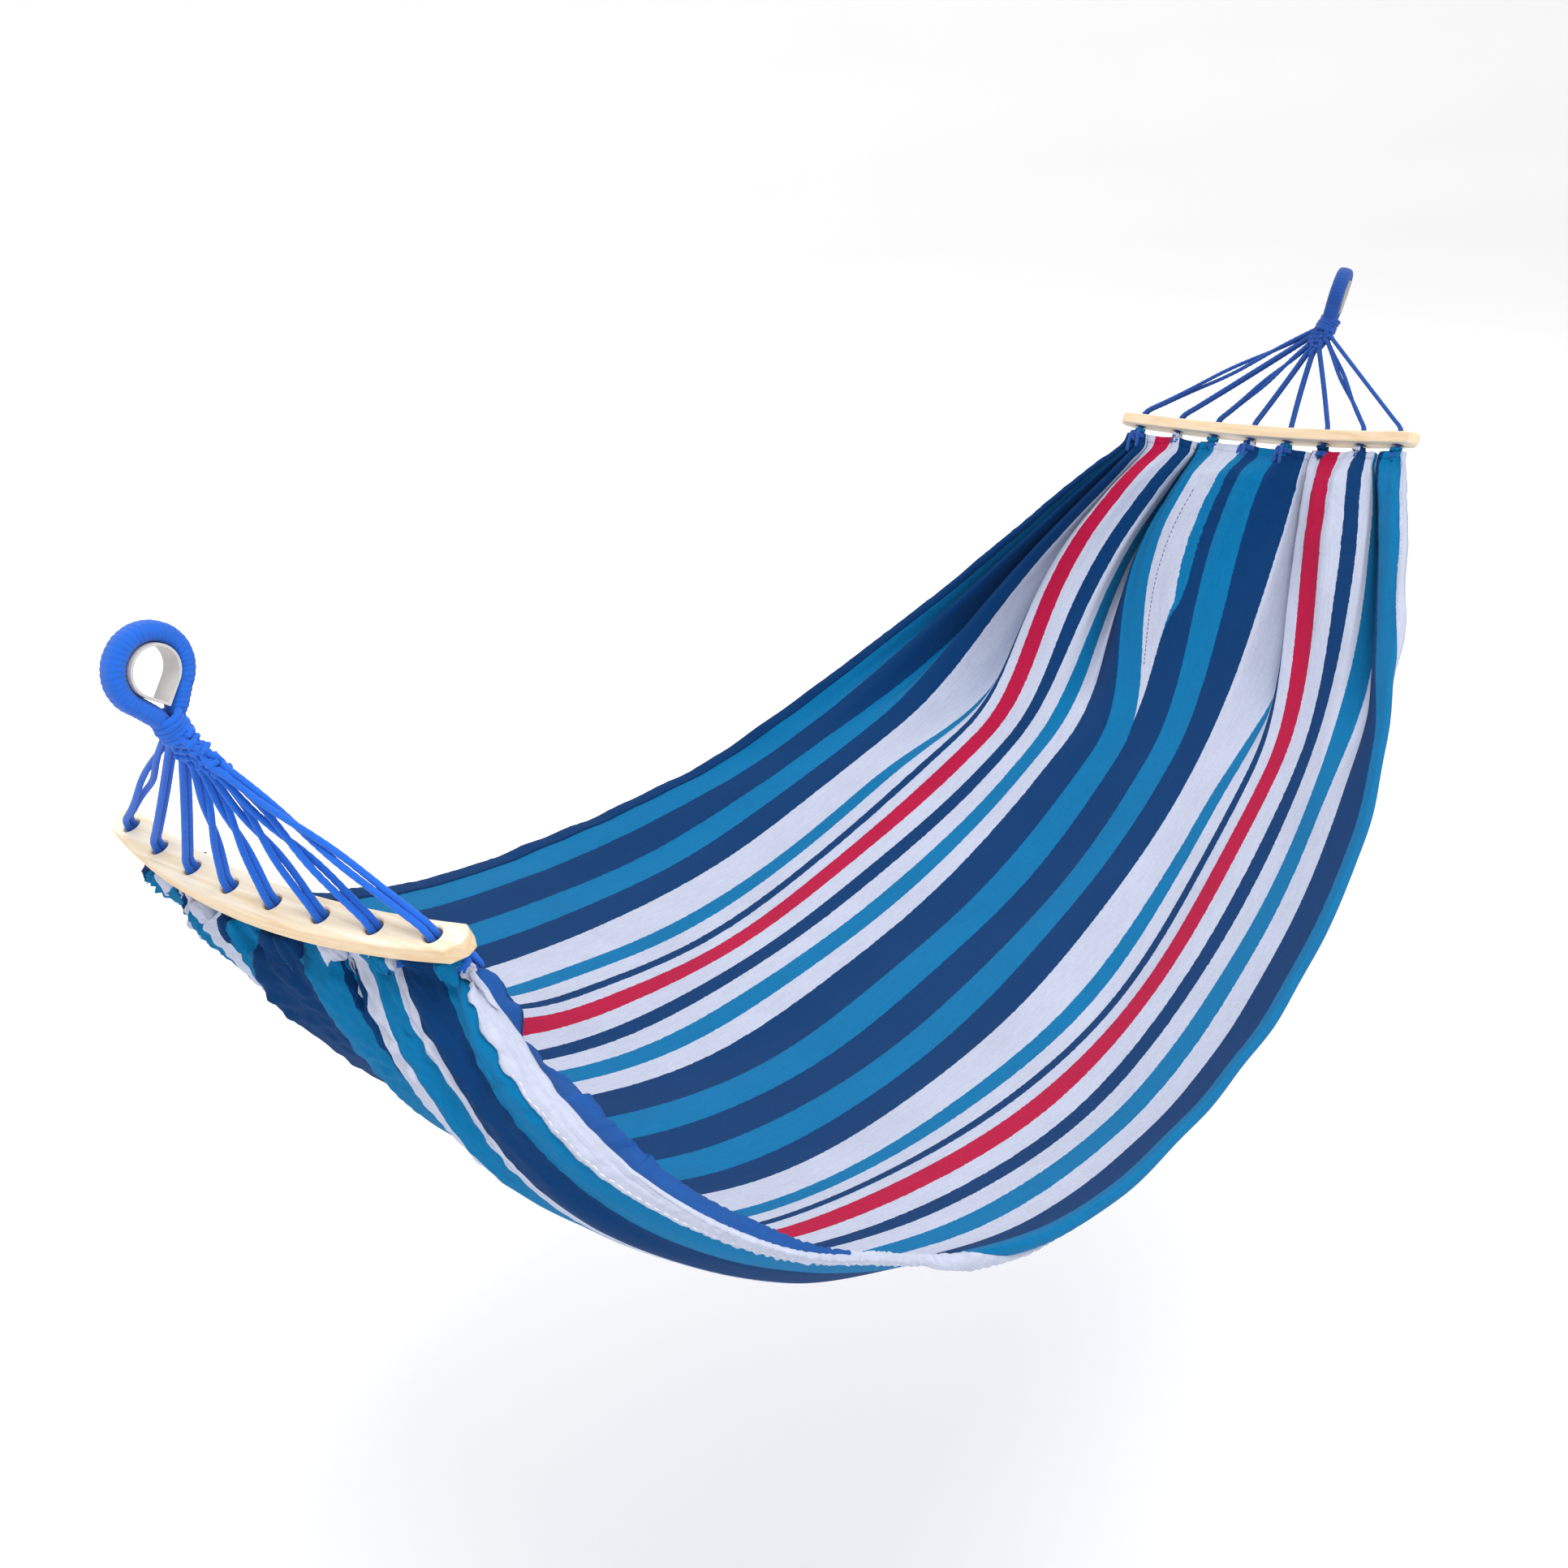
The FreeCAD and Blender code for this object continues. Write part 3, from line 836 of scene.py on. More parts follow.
def drawn_in(gathering, place, away, q):
    """The cloth pulled together round each tie."""
    end = gathering.end
    index, off = gathering.tie(q)
    ties = np.array([end.on_bar(y) for y in HOLES])[index]
    drop = np.einsum("rck,k->rc", place - ties, -end.up)
    middle = ties - end.up * drop[..., None]
    below = drop - (TIE_DROP - gathering.rise)
    squeeze = gathering.neck + (1 - gathering.neck) * ease(0.0, gathering.neck_reach, below)
    squeeze = 1 - (1 - squeeze) * (1 - off ** 2)
    squeeze = np.where(away < TIED_PART, squeeze, 1.0)
    return middle + (place - middle) * squeeze[..., None]


WIDTH_S = np.linspace(0, BED_LENGTH, 121)
WIDTH_AT = row_width(WIDTH_S)
COLUMNS = 461


def row_distances():
    """Rows close together where the cloth is gathered and further apart in the middle."""
    fine = np.concatenate([np.arange(0, 0.16, 0.0029), np.arange(0.16, 0.45, 0.0065)])
    middle = np.linspace(0.45, BED_LENGTH - 0.45, 90)
    return np.concatenate([fine, middle, (BED_LENGTH - fine)[::-1]])


def relax(grid, rounds):
    """Evens the grid out a little, which rounds the creases."""
    for _ in range(rounds):
        inner = (grid[:-2, 1:-1] + grid[2:, 1:-1] + grid[1:-1, :-2] + grid[1:-1, 2:]) / 4
        edges = [(grid[:-2, k] + grid[2:, k]) / 2 for k in (0, -1)]
        ends = [(grid[k, :-2] + grid[k, 2:]) / 2 for k in (0, -1)]
        grid[1:-1, 1:-1] = grid[1:-1, 1:-1] * 0.45 + inner * 0.55
        for k, edge, end_row in zip((0, -1), edges, ends):
            grid[1:-1, k] = grid[1:-1, k] * 0.5 + edge * 0.5
            grid[k, 1:-1] = grid[k, 1:-1] * 0.6 + end_row * 0.4
    return grid


ROW_S = row_distances()
COLUMN_Q = np.linspace(0, CREST_UNIT, COLUMNS)
GRID_S, GRID_Q = np.meshgrid(ROW_S, COLUMN_Q, indexing="ij")
CLOTH = relax(cloth_points(GRID_S, GRID_Q), 3)


def grid_normals(grid):
    """Outward directions of a grid of places."""
    return unit(np.cross(np.gradient(grid, axis=0), np.gradient(grid, axis=1)))


CLOTH_NORMAL = grid_normals(CLOTH)


def on_grid(grid, row, column):
    """Bilinear places in a grid, for row and column numbers with fractions."""
    r = np.clip(row, 0, grid.shape[0] - 1.001)
    c = np.clip(column, 0, grid.shape[1] - 1.001)
    r0, c0 = r.astype(int), c.astype(int)
    tr, tc = (r - r0)[..., None], (c - c0)[..., None]
    top = grid[r0, c0] * (1 - tc) + grid[r0, c0 + 1] * tc
    foot = grid[r0 + 1, c0] * (1 - tc) + grid[r0 + 1, c0 + 1] * tc
    return top * (1 - tr) + foot * tr


def stripe_place(q):
    """Metres across the woven pattern. The last two stripes by the near hem are narrower."""
    stops = (0, LAST_NAVY, LAST_BLUE, NEAR_HEM_FROM + 7, CREST_UNIT)
    woven = (0, LAST_NAVY, LAST_NAVY + 36, LAST_NAVY + 67, LAST_NAVY + 84)
    return np.interp(q, stops, woven) * CLOTH_WIDTH / UNITS


def cloth_uv(s, q):
    return np.stack([s * CLOTH_LENGTH / BED_LENGTH, stripe_place(q)], -1)


def row_place(row):
    """Distance from end A at row numbers with fractions."""
    return np.interp(row, np.arange(len(ROW_S)), ROW_S)


def column_of(q):
    return q / CREST_UNIT * (COLUMNS - 1)


UNDER_FAR_HEM = 4.0
UNDER_NEAR_HEM = 7.5


def thicken(thing, gauge, offset):
    """Gives a sheet its thickness: offset 0 on both sides of it, -1 behind it."""
    thick = thing.modifiers.new("gauge", "SOLIDIFY")
    thick.thickness = gauge
    thick.offset = offset
    return thing


def make_bed():
    first = int(column_of(FAR_HEM_UNITS - UNDER_FAR_HEM))
    last = int(column_of(NEAR_HEM_FROM + UNDER_NEAR_HEM)) + 1
    part = CLOTH[:, first:last]
    uv = cloth_uv(GRID_S[:, first:last], GRID_Q[:, first:last])
    sheet = add_mesh("cloth_bed_striped", part, grid_faces(*part.shape[:2]), STRIPES, uv)
    return thicken(sheet, CLOTH_GAUGE, 0.0)


def hem_rings(rows, outer_columns, rise, thick, crest):
    """Closed rings of a side hem: down the outside, round the crest and up the inside."""
    row, column = np.broadcast_arrays(rows[:, None], outer_columns)
    base = on_grid(CLOTH, row, column)
    normal = on_grid(CLOTH_NORMAL, row, column)
    outside = base + normal * thick[..., None]
    inside = base - normal * (thick + rise)[..., None]
    tip = base[:, -1] + unit(base[:, -1] - base[:, -3]) * crest
    return np.concatenate([outside, tip[:, None, :], inside[:, ::-1]], 1), base


def hem_uv(s, around, wide):
    """The map of a side hem: metres along it and metres round its ring."""
    return pairs(s * CLOTH_LENGTH / BED_LENGTH, np.linspace(0, wide, around)[None, :])


NEAR_ROWS = 900
NEAR_ACROSS = 11
FAR_ROWS = 500
FAR_ACROSS = 7
END_HEM_ROWS = 3.4
END_HEM_PROFILE = (0.4, 1.0, 0.9, 0.9, 0.55)
END_HEM_HALF = 0.0013
SLATE_SPAN = (0.0, 0.030, 0.22, 0.37)
STAND_SPAN = (0.0, 0.05, 0.09, 0.24)
RUCHE = 0.0016
RUCHE_PITCH = 0.0085
SLATE_BULGE = 0.017
SLATE_STAND = 0.022
PLAIN_BULGE = 0.0022


def hem_narrowing(s):
    """Stripe units by which the near hem is narrower away from end A."""
    return NEAR_HEM_NARROWS * ease(0.08, 0.32, s)


def make_near_hem():
    """The white hem. Near end A its inner leaf stands off and shows, painted slate: navy made lighter as a
    painted highlight of the grazing light on it.
    """
    rows = np.linspace(0, len(ROW_S) - 1, NEAR_ROWS)
    s = row_place(rows)[:, None]
    x = np.linspace(1, 0, NEAR_ACROSS)[None, :] ** 1.4
    columns = column_of(CREST_UNIT - (CREST_UNIT - NEAR_HEM_FROM - hem_narrowing(s)) * x)
    grow = stretch(SLATE_SPAN, s)
    bulge = PLAIN_BULGE + (SLATE_BULGE - PLAIN_BULGE) * grow
    rise = bulge * np.sin(math.pi * np.maximum(x, 1e-5) ** 0.5) ** 0.9
    ruche = np.abs(np.sin(math.pi * s / RUCHE_PITCH + 1.6 * waves(s * 24, x * 0.6, 44))) * RUCHE
    ruche = ruche * ease(0.12, 0.3, s) * (1 - 0.8 * ease(1.3, 1.55, s))
    pucker = waves(s * 85, x * 1.5, 41) * 0.0007 * (0.35 + 0.65 * x) + ruche
    crease = np.abs(waves(s * 9, x * 3.2, 42)) * 0.0026 * np.exp(-s / 0.22)
    rings, base = hem_rings(rows, columns, rise, 0.0014 + np.abs(pucker) + np.abs(crease), 0.0022)
    upward = unit(base[:, -1] - base[:, -4])
    lift = np.sin(math.pi * np.clip(x, 1e-5, 0.9999) ** 0.45) ** 1.2
    stand = SLATE_STAND * stretch(STAND_SPAN, s) * lift
    rings[:, NEAR_ACROSS + 1:] += upward[:, None, :] * stand[:, ::-1, None]
    around = rings.shape[1]
    # Painted highlight: the standing inner leaf near end A takes the lighter slate colour of navy in grazing
    # light.
    lit_leaf_mask = (grow > 0.02) & (np.arange(around) > NEAR_ACROSS)[None, :]
    return add_tube("near_hem_cloth", rings, HEM_WHITE_AND_LIT_LEAF, hem_uv(s, around, 0.06),
                    [[0, 0], [CLOTH_LENGTH, 0]], lit_leaf_mask.astype(float))


def make_far_hem():
    """The narrow navy hem, lying flat on both sides of the far edge."""
    rows = np.linspace(0, len(ROW_S) - 1, FAR_ROWS)
    s = row_place(rows)[:, None]
    x = np.linspace(1, 0, FAR_ACROSS)[None, :]
    rise = np.broadcast_to(0.0012 * np.sin(math.pi * np.maximum(x, 1e-4) ** 0.6), (FAR_ROWS, FAR_ACROSS))
    thick = 0.0013 + np.abs(waves(s * 60, x, 43)) * 0.0007
    rings, _ = hem_rings(rows, column_of(FAR_HEM_UNITS * x), rise, thick, 0.0015)
    return add_tube("far_hem_cloth", rings, HEM_NAVY, hem_uv(s, rings.shape[1], 0.05),
                    [[0, 0], [CLOTH_LENGTH, 0]])


def make_end_hem(end):
    """The double-folded hem along the scalloped end of the cloth."""
    rows = np.linspace(0, END_HEM_ROWS, len(END_HEM_PROFILE))
    if end is end_b:
        rows = len(ROW_S) - 1 - rows
    row, column = np.meshgrid(rows, np.linspace(0, COLUMNS - 1, 900), indexing="ij")
    base = on_grid(CLOTH, row, column)
    thick = on_grid(CLOTH_NORMAL, row, column) * np.array(END_HEM_PROFILE)[:, None, None] * END_HEM_HALF
    rings = np.concatenate([base + thick, (base - thick)[::-1]], 0).transpose(1, 0, 2)
    uv = cloth_uv(row_place(row), column / (COLUMNS - 1) * CREST_UNIT)
    uv = np.concatenate([uv, uv[::-1]], 0).transpose(1, 0, 2)
    return add_tube("end_hem_cloth_" + end.name, rings, STRIPES, uv, uv[[0, -1], 0])


STITCH_LONG = 0.0046
STITCH_EVERY = 0.0072
STITCH_ROUND = 6
STITCH_HALF = 0.00055
STITCH_HEIGHT = 0.00045


def stitch_row(name, places, normals, material, skip=0.02):
    """A line of small raised stitches along a path on the cloth."""
    far = distances(places)
    starts = np.arange(skip, far[-1] - skip, STITCH_EVERY)
    sections = np.array([[-0.5, 0.0], [-0.36, 0.8], [0.0, 1.0], [0.36, 0.8], [0.5, 0.0]])
    turn = angles(STITCH_ROUND)
    size = len(sections) * STITCH_ROUND
    full = np.maximum(sections[:, 1], 0.15)[:, None]
    points, faces, uv = [], [], []
    for number, start in enumerate(starts):
        spots = start + STITCH_LONG / 2 + sections[:, 0] * STITCH_LONG
        spot = places_at(spots, far, places)
        lift = unit(places_at(spots[2], far, normals))
        across = np.cross(unit(spot[-1] - spot[0]), lift)
        ring = ovals(spot + lift * 0.0002, across, lift, STITCH_HALF * full, STITCH_HEIGHT * full, turn)
        points.append(ring.reshape(-1, 3))
        faces.append(grid_faces(len(sections), STITCH_ROUND, closed=True, first=number * size))
        uv.append(np.tile([start, 0.0], (size, 1)))
    return add_mesh(name, np.vstack(points), np.vstack(faces), material, np.vstack(uv))


def hem_stitches():
    """Seam stitches beside both side hems, on the outside and the inside, and down the gusset, whose dark
    plum thread also paints the shade of the fold there.
    """
    made = []
    rows = np.linspace(4, len(ROW_S) - 5, 700)
    narrow = hem_narrowing(row_place(rows))
    for name, units, material in (("far", FAR_HEM_UNITS - 2.0 + 0 * rows, THREAD_NAVY),
                                  ("near", NEAR_HEM_FROM + 2.0 + narrow, THREAD_WHITE)):
        place = on_grid(CLOTH, rows, column_of(units))
        normal = on_grid(CLOTH_NORMAL, rows, column_of(units))
        for side, sign in (("outside", 1), ("inside", -1)):
            made.append(stitch_row("stitches_%s_%s" % (name, side), place + normal * sign * 0.0020,
                                   normal * sign, material))
    # Down the gusset: a stitch line in dark plum, partly real stitching and partly painted shade of the fold
    # there.
    away = np.linspace(0.05, 0.36, 200)
    rows = np.interp(BED_LENGTH - away, ROW_S, np.arange(len(ROW_S)))
    left = 1 - away * CLOTH_LENGTH / BED_LENGTH / GUSSET_REACH
    column = column_of(GUSSET_UNIT + GUSSET_UNITS * left * 0.5)
    normal = on_grid(CLOTH_NORMAL, rows, column)
    place = on_grid(CLOTH, rows, column) - normal * 0.0007
    made.append(stitch_row("stitches_gusset", place, -normal, PLUM_SHADE_THREAD))
    return made


bed = ride(make_bed(), "hammock", "cloth", "cloth_bed")
near_hem = ride(make_near_hem(), "hammock", "hem_white", "near_hem")
far_hem = ride(make_far_hem(), "hammock", "hem_navy", "far_hem")
end_hems = [ride(make_end_hem(end), "hammock", "cloth", "end_hem_" + end.name) for end in (end_a, end_b)]
seams = [ride(seam, "hammock", "hem_white") for seam in hem_stitches()]


# Cloth tufts and rope ties under the bars

TUFT_TOP = -0.0122
TUFT_ROWS = 34
TUFT_ROUND = 96
TUFT_STEPS = (0, 0.25, 0.5, 0.65, 0.8, 1)
TIE_ROPE_R = 0.0026
TIE_ASIDE = 0.0045
TIE_AROUND = 0.0072
TIE_BELOW = {"a": -0.0285, "b": -0.0225}
TUFT_SIZES = {"a": (0.0165, 0.0250), "b": (0.0070, 0.0050)}
TUFT_SCALES = {"a": (0.40, 0.65, 0.80, 1.0, 0.95, 0.60, 0.60, 0.50), "b": (1.0,) * CORD_COUNT}
TUFT_OUT = {"a": 0.55, "b": 0.0}
TUFT_UNITS = {"a": (158, 158, 152, 452, 424, 517, 545, 455),
              "b": (96, 158, 455, 585, 455, 488, 705, 728)}
FRONT_TIES = {"a": (), "b": (0, 3, 4)}


def make_tuft(gathering, index, y):
    """The crumpled end of the cloth that spills out over its tie."""
    end = gathering.end
    draw = end.draw(100 * index)
    wide, droop = np.array(TUFT_SIZES[end.name]) * TUFT_SCALES[end.name][index]
    wide = wide * draw.uniform(0.85, 1.0)
    droop = droop * draw.uniform(0.7, 1.0)
    t = np.linspace(0, 1, TUFT_ROWS)[:, None]
    turn = angles(TUFT_ROUND)[None, :]
    radius = np.interp(t, TUFT_STEPS, (0.0045, 0.0052, 0.62 * wide, 0.9 * wide, wide, 1.04 * wide))
    height = np.interp(t, TUFT_STEPS, (-0.030, -0.023, TUFT_TOP - 0.0030, TUFT_TOP,
                                       TUFT_TOP - 0.3 * droop, TUFT_TOP - droop))
    lobes = int(draw.integers(3, 6))
    phase = draw.uniform(0, math.tau)
    frill = 0.26 * np.sin(lobes * turn + phase + 1.6 * t) + 0.13 * np.sin((2 * lobes + 1) * turn + 2 * phase)
    fine = waves(3.6 * np.cos(turn) + t * 5, 3.6 * np.sin(turn), 400 + index)
    fine = fine * 0.085 * wide * ease(0.2, 0.6, t)
    sag = ease(0.6, 1.0, t) * droop * (0.45 * np.sin(2 * turn + phase) + 0.30 * np.sin(5 * turn + 2 * phase))
    height = np.minimum(height + fine - np.maximum(0, sag) - 0.0012 * np.sin(7 * turn) * t, TUFT_TOP)
    outward = TUFT_OUT[end.name] * np.minimum(0, np.sin(turn)) * ease(0.3, 0.8, t)
    radius = radius * (1 + t * frill - outward) + fine
    points = end.on_bar(y) + SIDE * (radius * np.cos(turn))[..., None]
    points = points + end.inward * (radius * np.sin(turn))[..., None] + end.up * height[..., None]
    uv = pairs(0.02 * t, stripe_place(TUFT_UNITS[end.name][index] + 15 * np.sin(turn + phase)))
    name = "cloth_tuft_%s_%d" % (end.name, index + 1)
    tuft = add_mesh(name, points, grid_faces(TUFT_ROWS, TUFT_ROUND, closed=True), STRIPES, uv)
    return thicken(tuft, 0.0010, -1.0)


def make_tie(end, index, y):
    """Two turns of cord round the gathered cloth, a crossing and two free tails."""
    draw = end.draw(300 + 10 * index)
    front = index in FRONT_TIES[end.name]
    aside = 0.0 if front else (TIE_ASIDE if end is end_a else -TIE_ASIDE)
    centre = end.on_bar(y, TIE_BELOW[end.name]) + end.inward * aside

    def spot(angle, outside, above):
        around = SIDE * math.cos(angle) + end.inward * math.sin(angle)
        return centre + around * (TIE_AROUND + outside) + end.up * above

    start = draw.uniform(0.1, 0.9) if front else draw.uniform(0.8, 2.2) + (0 if end is end_a else math.pi)
    turns = [spot(start + math.tau * k / 10, 0.0004 * math.sin(k), 0.0028 - 0.0056 * k / 20)
             for k in range(21)]
    parts = [braided_tube(turns, TIE_ROPE_R)]
    for tail in range(2):
        angle = start + tail * draw.uniform(0.7, 1.3)
        long = draw.uniform(0.013, 0.022) * (1.0 if front else 0.3)
        route = [spot(angle, -0.001, 0.002), spot(angle + 0.15, 0.0040, 0.004),
                 spot(angle + 0.3, 0.0062, -0.004 - long * 0.3), spot(angle + 0.35, 0.0055, -0.004 - long)]
        parts.append(braided_tube(route, TIE_ROPE_R * 0.92, taper=0.35))
    crossing = [spot(start - 0.4, 0.0010, 0.007), spot(start, 0.0036, 0.003),
                spot(start + 0.4, 0.0036, -0.003), spot(start + 0.9, 0.0006, -0.008)]
    parts.append(braided_tube(crossing, TIE_ROPE_R * 0.95, taper=0.3))
    return add_cords("tie_rope_%s_%d" % (end.name, index + 1), parts, ROPES[end.name])


for gathering in (gather_a, gather_b):
    name = gathering.end.name
    for index, y in enumerate(HOLES):
        ride(make_tuft(gathering, index, y), "hammock", "cloth", "cloth_gathers_" + name)
        ride(make_tie(gathering.end, index, y), "hammock", "rope", "tie_knots_" + name)


# Cords

PLAIT_TOP_HALF = 0.0085
# How far down its plait each leg comes out, and how wide the slit between its strands is.
LEAVING = {"a": (0.42, 0.50, 0.84, 1.0, 1.02, 1.02, 0.98, 0.90),
           "b": (0.34, 0.50, 0.86, 1.08, 1.12, 1.0, 0.66, 0.55)}
SLITS = {"a": (0.40, 0.1, 0.0, 0.0, 0.05, 0.30, 0.35, 0.15),
         "b": (0.4, 0.25, 0.0, 0.0, 0.1, 0.0, 0.1, 0.0)}
LEG_RELIEF = 0.13
PLAIT_STEP = 0.0011
BAND_LEVELS = (0.22, 0.36, 0.52, 0.70, 0.86)


def plait_side(end, index, t, strand=0.0):
    """How far aside a leg runs inside the plait, from its top, t 0, to its foot, t 1."""
    top = PLAIT_TOP_HALF * (1 - 2 * (index + 0.5 + strand / 4) / CORD_COUNT)
    foot = end.start_pitch * ((CORD_COUNT - 1) / 2 - index)
    return top + (foot - top) * t ** 1.15


def plait_place(end, t):
    return end.neck + end.down * (t * (WEB_DEPTH + 0.002) - 0.004)


CLEAR_OF_BAR = 0.006


def make_leg(end, index, y):
    """Both strands of one doubled cord, close together, with a slit where they part a little."""
    draw = end.draw(500 + 10 * index)
    leave = LEAVING[end.name][index] - 0.10
    start = plait_place(end, leave) + SIDE * plait_side(end, index, leave)
    half = BAR_THICKNESS / 2
    finish = end.on_bar(y, half + CLEAR_OF_BAR)
    along = unit(finish - start)
    one = unit(end.inward - along * end.inward.dot(along))
    other = np.cross(along, one)
    opening = SLITS[end.name][index]
    bend = draw.uniform(-0.0010, 0.0010)
    turning = math.pi * draw.choice([1.0, -1.0, 0.0])
    parts = []
    for sign in (1, -1):
        route = []
        for t in np.linspace(0, 0.97, 12):
            angle = turning * ease(0.05, 0.8, t)
            apart = STRAND_SHIFT * (0.88 + opening * math.sin(math.pi * t) ** 1.5)
            offset = (one * math.cos(angle) + other * math.sin(angle)) * sign * apart
            route.append(start + (finish - start) * t + offset + other * bend * math.sin(math.pi * t))
        last = sign * (-1 if turning else 1)
        for above in (half + 0.0005, 0.0, -half, -half - CLEAR_OF_BAR):
            route.append(end.on_bar(y, above) + end.inward * last * STRAND_SHIFT)
        parts.append(braided_tube(route, STRAND_R, LEG_RELIEF))
    return add_cords("doubled_cord_%s_%d" % (end.name, index + 1), parts, ROPES[end.name])


def make_plait(end):
    """The neck: sixteen strands that cross as they spread, bound by cords woven across.
    The outer legs leave it first and the middle ones last."""
    parts = []
    leaving = LEAVING[end.name]
    for k in range(CORD_COUNT * 2):
        leg, strand = k // 2, (1 if k % 2 else -1)
        route = []
        for t in np.linspace(0, leaving[leg], 13):
            swing = math.sin(math.tau * 2 * t + math.pi * k) * math.sin(math.pi * min(1.0, t / leaving[leg]))
            over = strand * (STRAND_SHIFT * 0.9 + 0.0014 * math.cos(math.tau * 2 * t + math.pi * leg))
            side = plait_side(end, leg, t, strand * (1 - t)) + 0.0024 * swing
            route.append(plait_place(end, t) + SIDE * side + end.web_normal * over)
        parts.append(braided_tube(route, STRAND_R, LEG_RELIEF, step=PLAIT_STEP))
    for level, t in enumerate(BAND_LEVELS):
        held = [leg for leg in range(CORD_COUNT) if leaving[leg] > t]
        first, last = plait_side(end, held[0], t), plait_side(end, held[-1], t)
        route = []
        steps = 2 * len(held) + 1
        for n, x in enumerate(np.linspace(-0.12, 1.12, steps)):
            depth = (0.0064 if (n + level) % 2 else -0.0064) * (0.25 if n in (0, steps - 1) else 0.9)
            place = plait_place(end, t) + end.down * (0.0020 * math.sin(3.0 * x + level))
            route.append(place + SIDE * (first + (last - first) * x) + end.web_normal * depth)
        parts.append(braided_tube(route, STRAND_R * 0.86, LEG_RELIEF, step=PLAIT_STEP))
    return add_cords("neck_plait_cords_" + end.name, parts, ROPES[end.name])


BINDING_TURNS = 5.4
BINDING_STEPS = 86
BINDING_TOP = -0.0105
BINDING_LONG = 0.0215
BINDING_RADIUS = 0.0118


def make_neck_binding(end):
    """Turns of cord round the neck, where the eye's two legs go in."""
    around = unit(np.cross(end.down, end.web_normal))
    route = []
    for t in np.linspace(0, 1, BINDING_STEPS + 1):
        angle = math.tau * BINDING_TURNS * t
        height = BINDING_TOP + BINDING_LONG * t
        radius = BINDING_RADIUS - 2.2308 * height ** 2 + 0.0005 * math.sin(5 * angle / 3)
        ring = end.web_normal * 0.85 * math.cos(angle) + around * math.sin(angle)
        route.append(end.neck + end.down * height + ring * radius)
    cord = braided_tube(route, STRAND_R * 0.95, taper=0.3)
    return add_cords("neck_binding_" + end.name, [cord], ROPES[end.name])


# Eyes

SERVE_PITCH = 0.0040


def eye_path(end):
    """Middle line of the served eye, up one leg, round the top and down the other."""
    across = unit(np.cross(end.eye_axis, end.eye_up))
    grow = THIMBLE_WALL + WRAP_DEPTH / 2
    radius = EYE_BORE_R + grow
    point = EYE_POINT * radius / EYE_BORE_R
    touch = math.acos(radius / point)
    arc = np.linspace(-math.pi / 2 + touch, math.pi * 1.5 - touch, 60)
    flat = [(0.0062, -0.0435), (0.0072, -0.0370)]
    flat += [(radius * math.cos(a), radius * math.sin(a)) for a in arc]
    flat += [(-0.0072, -0.0370), (-0.0062, -0.0435)]
    return np.array([end.eye + across * x + end.eye_up * z for x, z in flat])


SERVE_STEP = 0.00055
WRAP_ROUND = 36
WRAP_POWER = 2.6


def make_eye_wrap(end):
    """Cord served round the eye in close turns."""
    line, length = even_path(eye_path(end), SERVE_STEP)
    out = np.cross(unit(np.gradient(line, axis=0)), end.eye_axis)
    s = np.linspace(0, length, len(line))[:, None]
    turn = angles(WRAP_ROUND)[None, :]
    phase = math.pi * s / SERVE_PITCH + turn / 2 + 0.25 * waves(s * 40, turn * 0.3, 61)
    ridge = np.abs(np.sin(phase)) ** 0.6
    shape = (np.abs(np.cos(turn)) ** WRAP_POWER + np.abs(np.sin(turn)) ** WRAP_POWER) ** (-1 / WRAP_POWER)
    closing = 0.78 + 0.22 * ease(0.0, 0.014, np.minimum(s, length - s))
    size = shape * closing * (0.93 + 0.07 * ridge + 0.012 * waves(s * 60, turn, 62))
    rings = ovals(line, out, end.eye_axis, WRAP_DEPTH / 2 * size, WRAP_LENGTH / 2 * size, turn)
    return add_tube("served_eye_" + end.name, rings, ROPES[end.name], pairs(s, turn / math.tau),
                    [[0, 0], [length, 0]])


for end in (end_a, end_b):
    name = end.name
    for index, y in enumerate(HOLES):
        ride(make_leg(end, index, y), "hammock", "rope", "fan_cord_%s_%d" % (name, index + 1))
    ride(make_plait(end), "hammock", "rope", "neck_plait_" + name)
    ride(make_neck_binding(end), "hammock", "rope")
    ride(make_eye_wrap(end), "eye_" + name, "rope", "eye_wrap_" + name)
    wood = wood_material(end.up)
    for node, material in (("spreader_bar_" + name, wood), ("thimble_" + name, thimble_material())):
        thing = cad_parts[node]
        thing.data.materials.clear()
        thing.data.materials.append(material)


# Floor, light and backdrop

FLOOR_BELOW = 0.75
FLOOR_ROUND = 128
MIDDLE = (0.9, 0.0, -0.35)
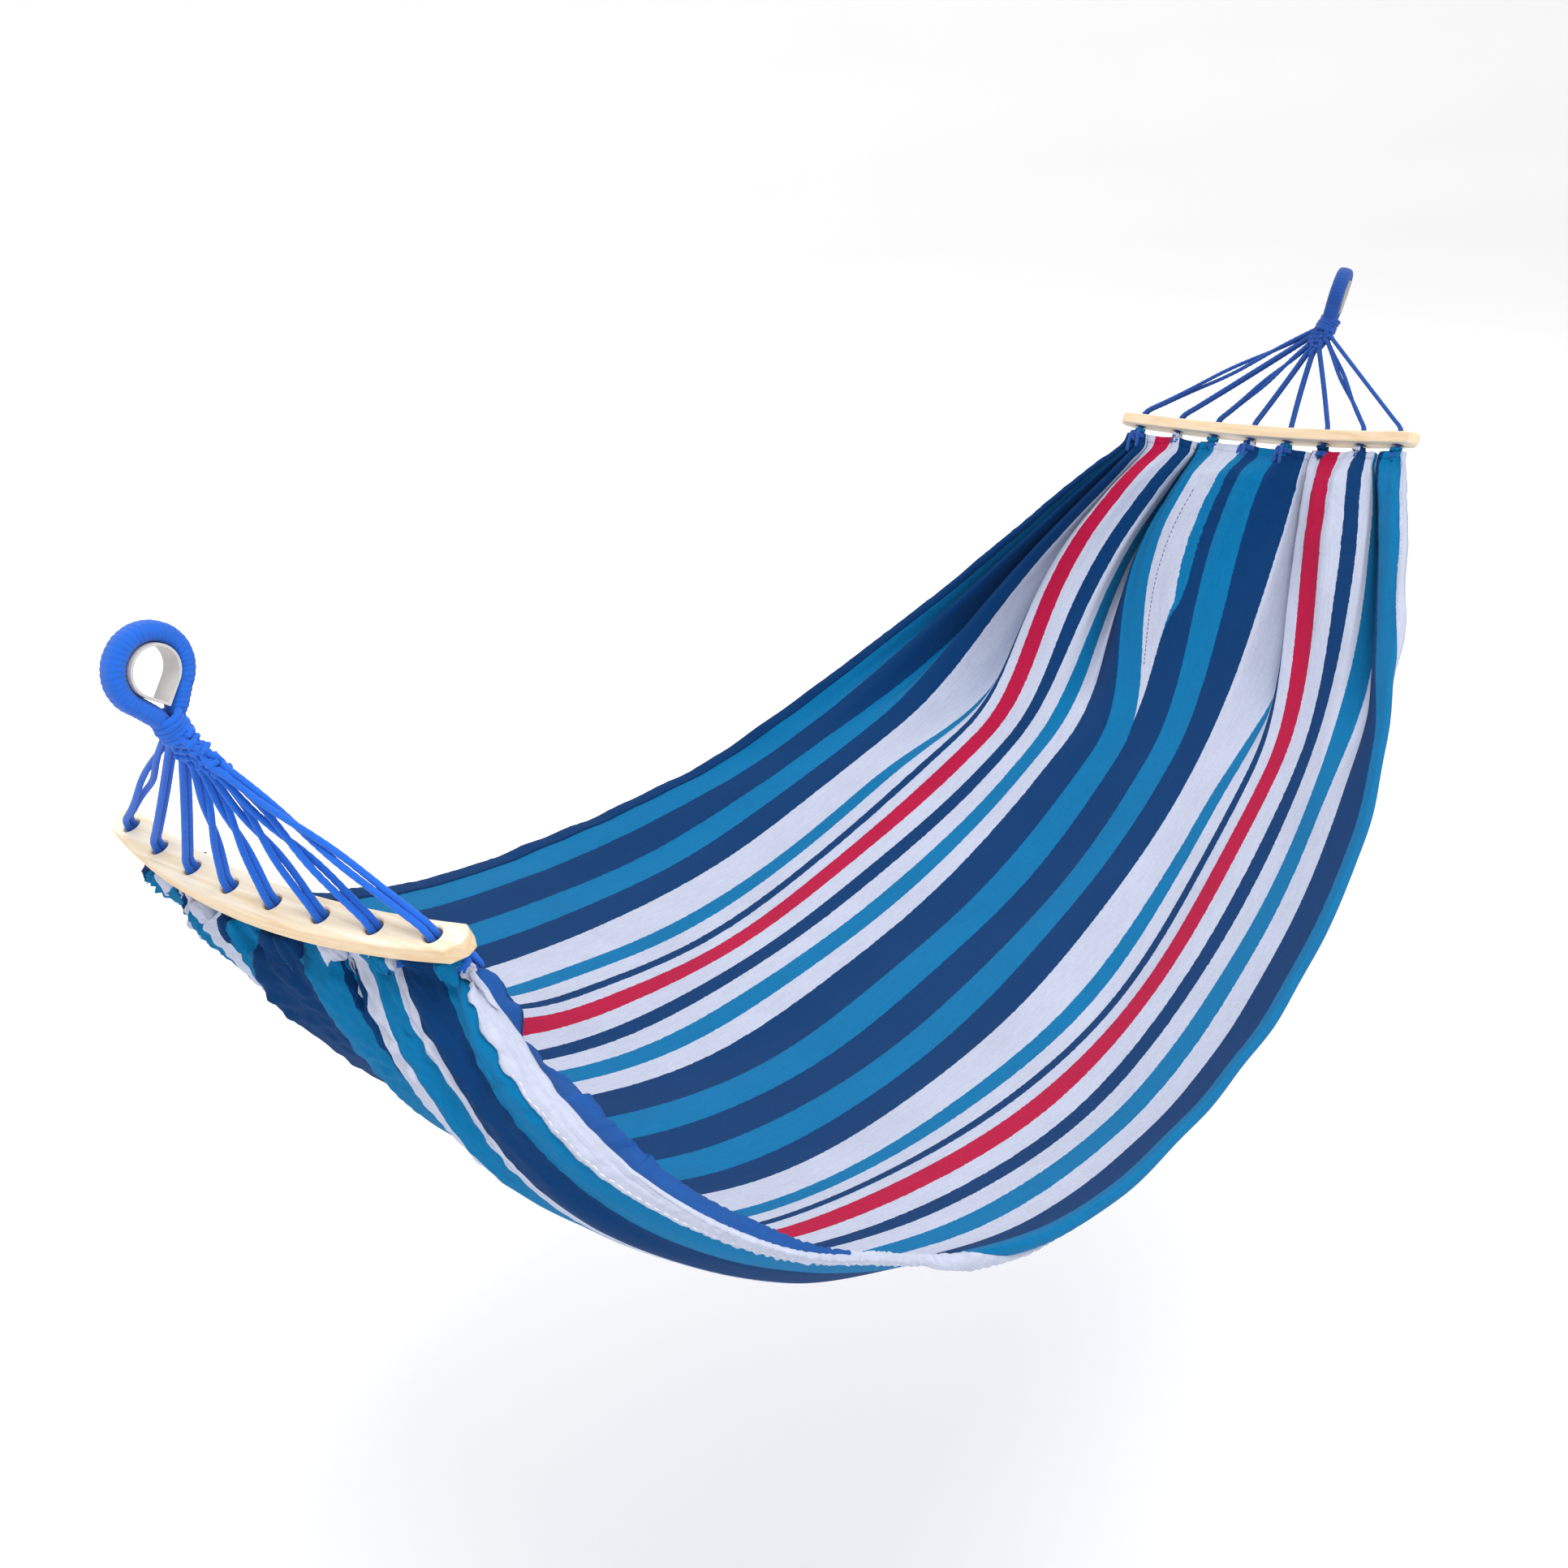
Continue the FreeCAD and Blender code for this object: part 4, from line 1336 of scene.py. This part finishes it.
# The backdrop's profile from the middle of the floor: (radius, rise).
BACKDROP_PROFILE = ((0.0, 0.0), (0.4, 0.0), (1.0, 0.0), (2.0, 0.0), (4.0, 0.0), (7.0, 0.0), (10.0, 0.0),
                    (12.0, 0.05), (13.5, 0.25), (14.8, 0.8), (15.7, 1.7), (16.2, 3.0), (16.4, 4.6))


def make_floor():
    """A round studio floor that curves up into a pale backdrop."""
    level = CAD_BOX[0][2] - FLOOR_BELOW
    radius, rise = np.array(BACKDROP_PROFILE).T[..., None]
    turn = angles(FLOOR_ROUND)[None, :]
    points = np.broadcast_arrays(MIDDLE[0] + radius * np.cos(turn), radius * np.sin(turn), level + rise)
    nodes = Nodes("pale_floor")
    tone = nodes.noise(nodes.place(), 0.7, 2.0)
    colour = nodes.mix(nodes.spread(tone, 0.0, 1.0), srgb(253, 253, 253), srgb(249, 249, 250))
    material = nodes.finish(colour, 0.95, tone, strength=0.02, depth=0.001)
    faces = grid_faces(len(radius), FLOOR_ROUND, closed=True)
    add_mesh("floor", np.stack(points, -1), faces, material)


def make_light(name, place, target, size, power):
    data = bpy.data.lights.new(name, "AREA")
    data.shape = "DISK"
    data.size = size
    data.energy = power
    light = bpy.data.objects.new(name, data)
    back = unit(np.array(place) - np.array(target))
    level = unit(np.cross([0.0, 0.0, 1.0], back))
    light.matrix_world = placed(level, np.cross(back, level), back, place)
    light.visible_camera = False
    bpy.context.scene.collection.objects.link(light)


def make_world():
    world = bpy.data.worlds.new("studio")
    world.use_nodes = True
    background = world.node_tree.nodes["Background"]
    background.inputs["Color"].default_value = (1.0, 1.0, 1.0, 1.0)
    background.inputs["Strength"].default_value = 0.86
    bpy.context.scene.world = world


make_floor()
make_world()
make_light("key", (-0.4, -1.6, 3.0), MIDDLE, 2.0, 78.0)
make_light("fill", (2.8, -2.2, 1.6), MIDDLE, 2.4, 12.0)
make_light("low_fill", (-1.6, -1.5, 0.1), (0.1, 0.0, -0.4), 1.6, 9.0)
make_light("backdrop", (3.6, 4.4, 3.4), (5.0, 6.0, -1.4), 5.0, 260.0)
bpy.context.scene.view_settings.view_transform = "Standard"
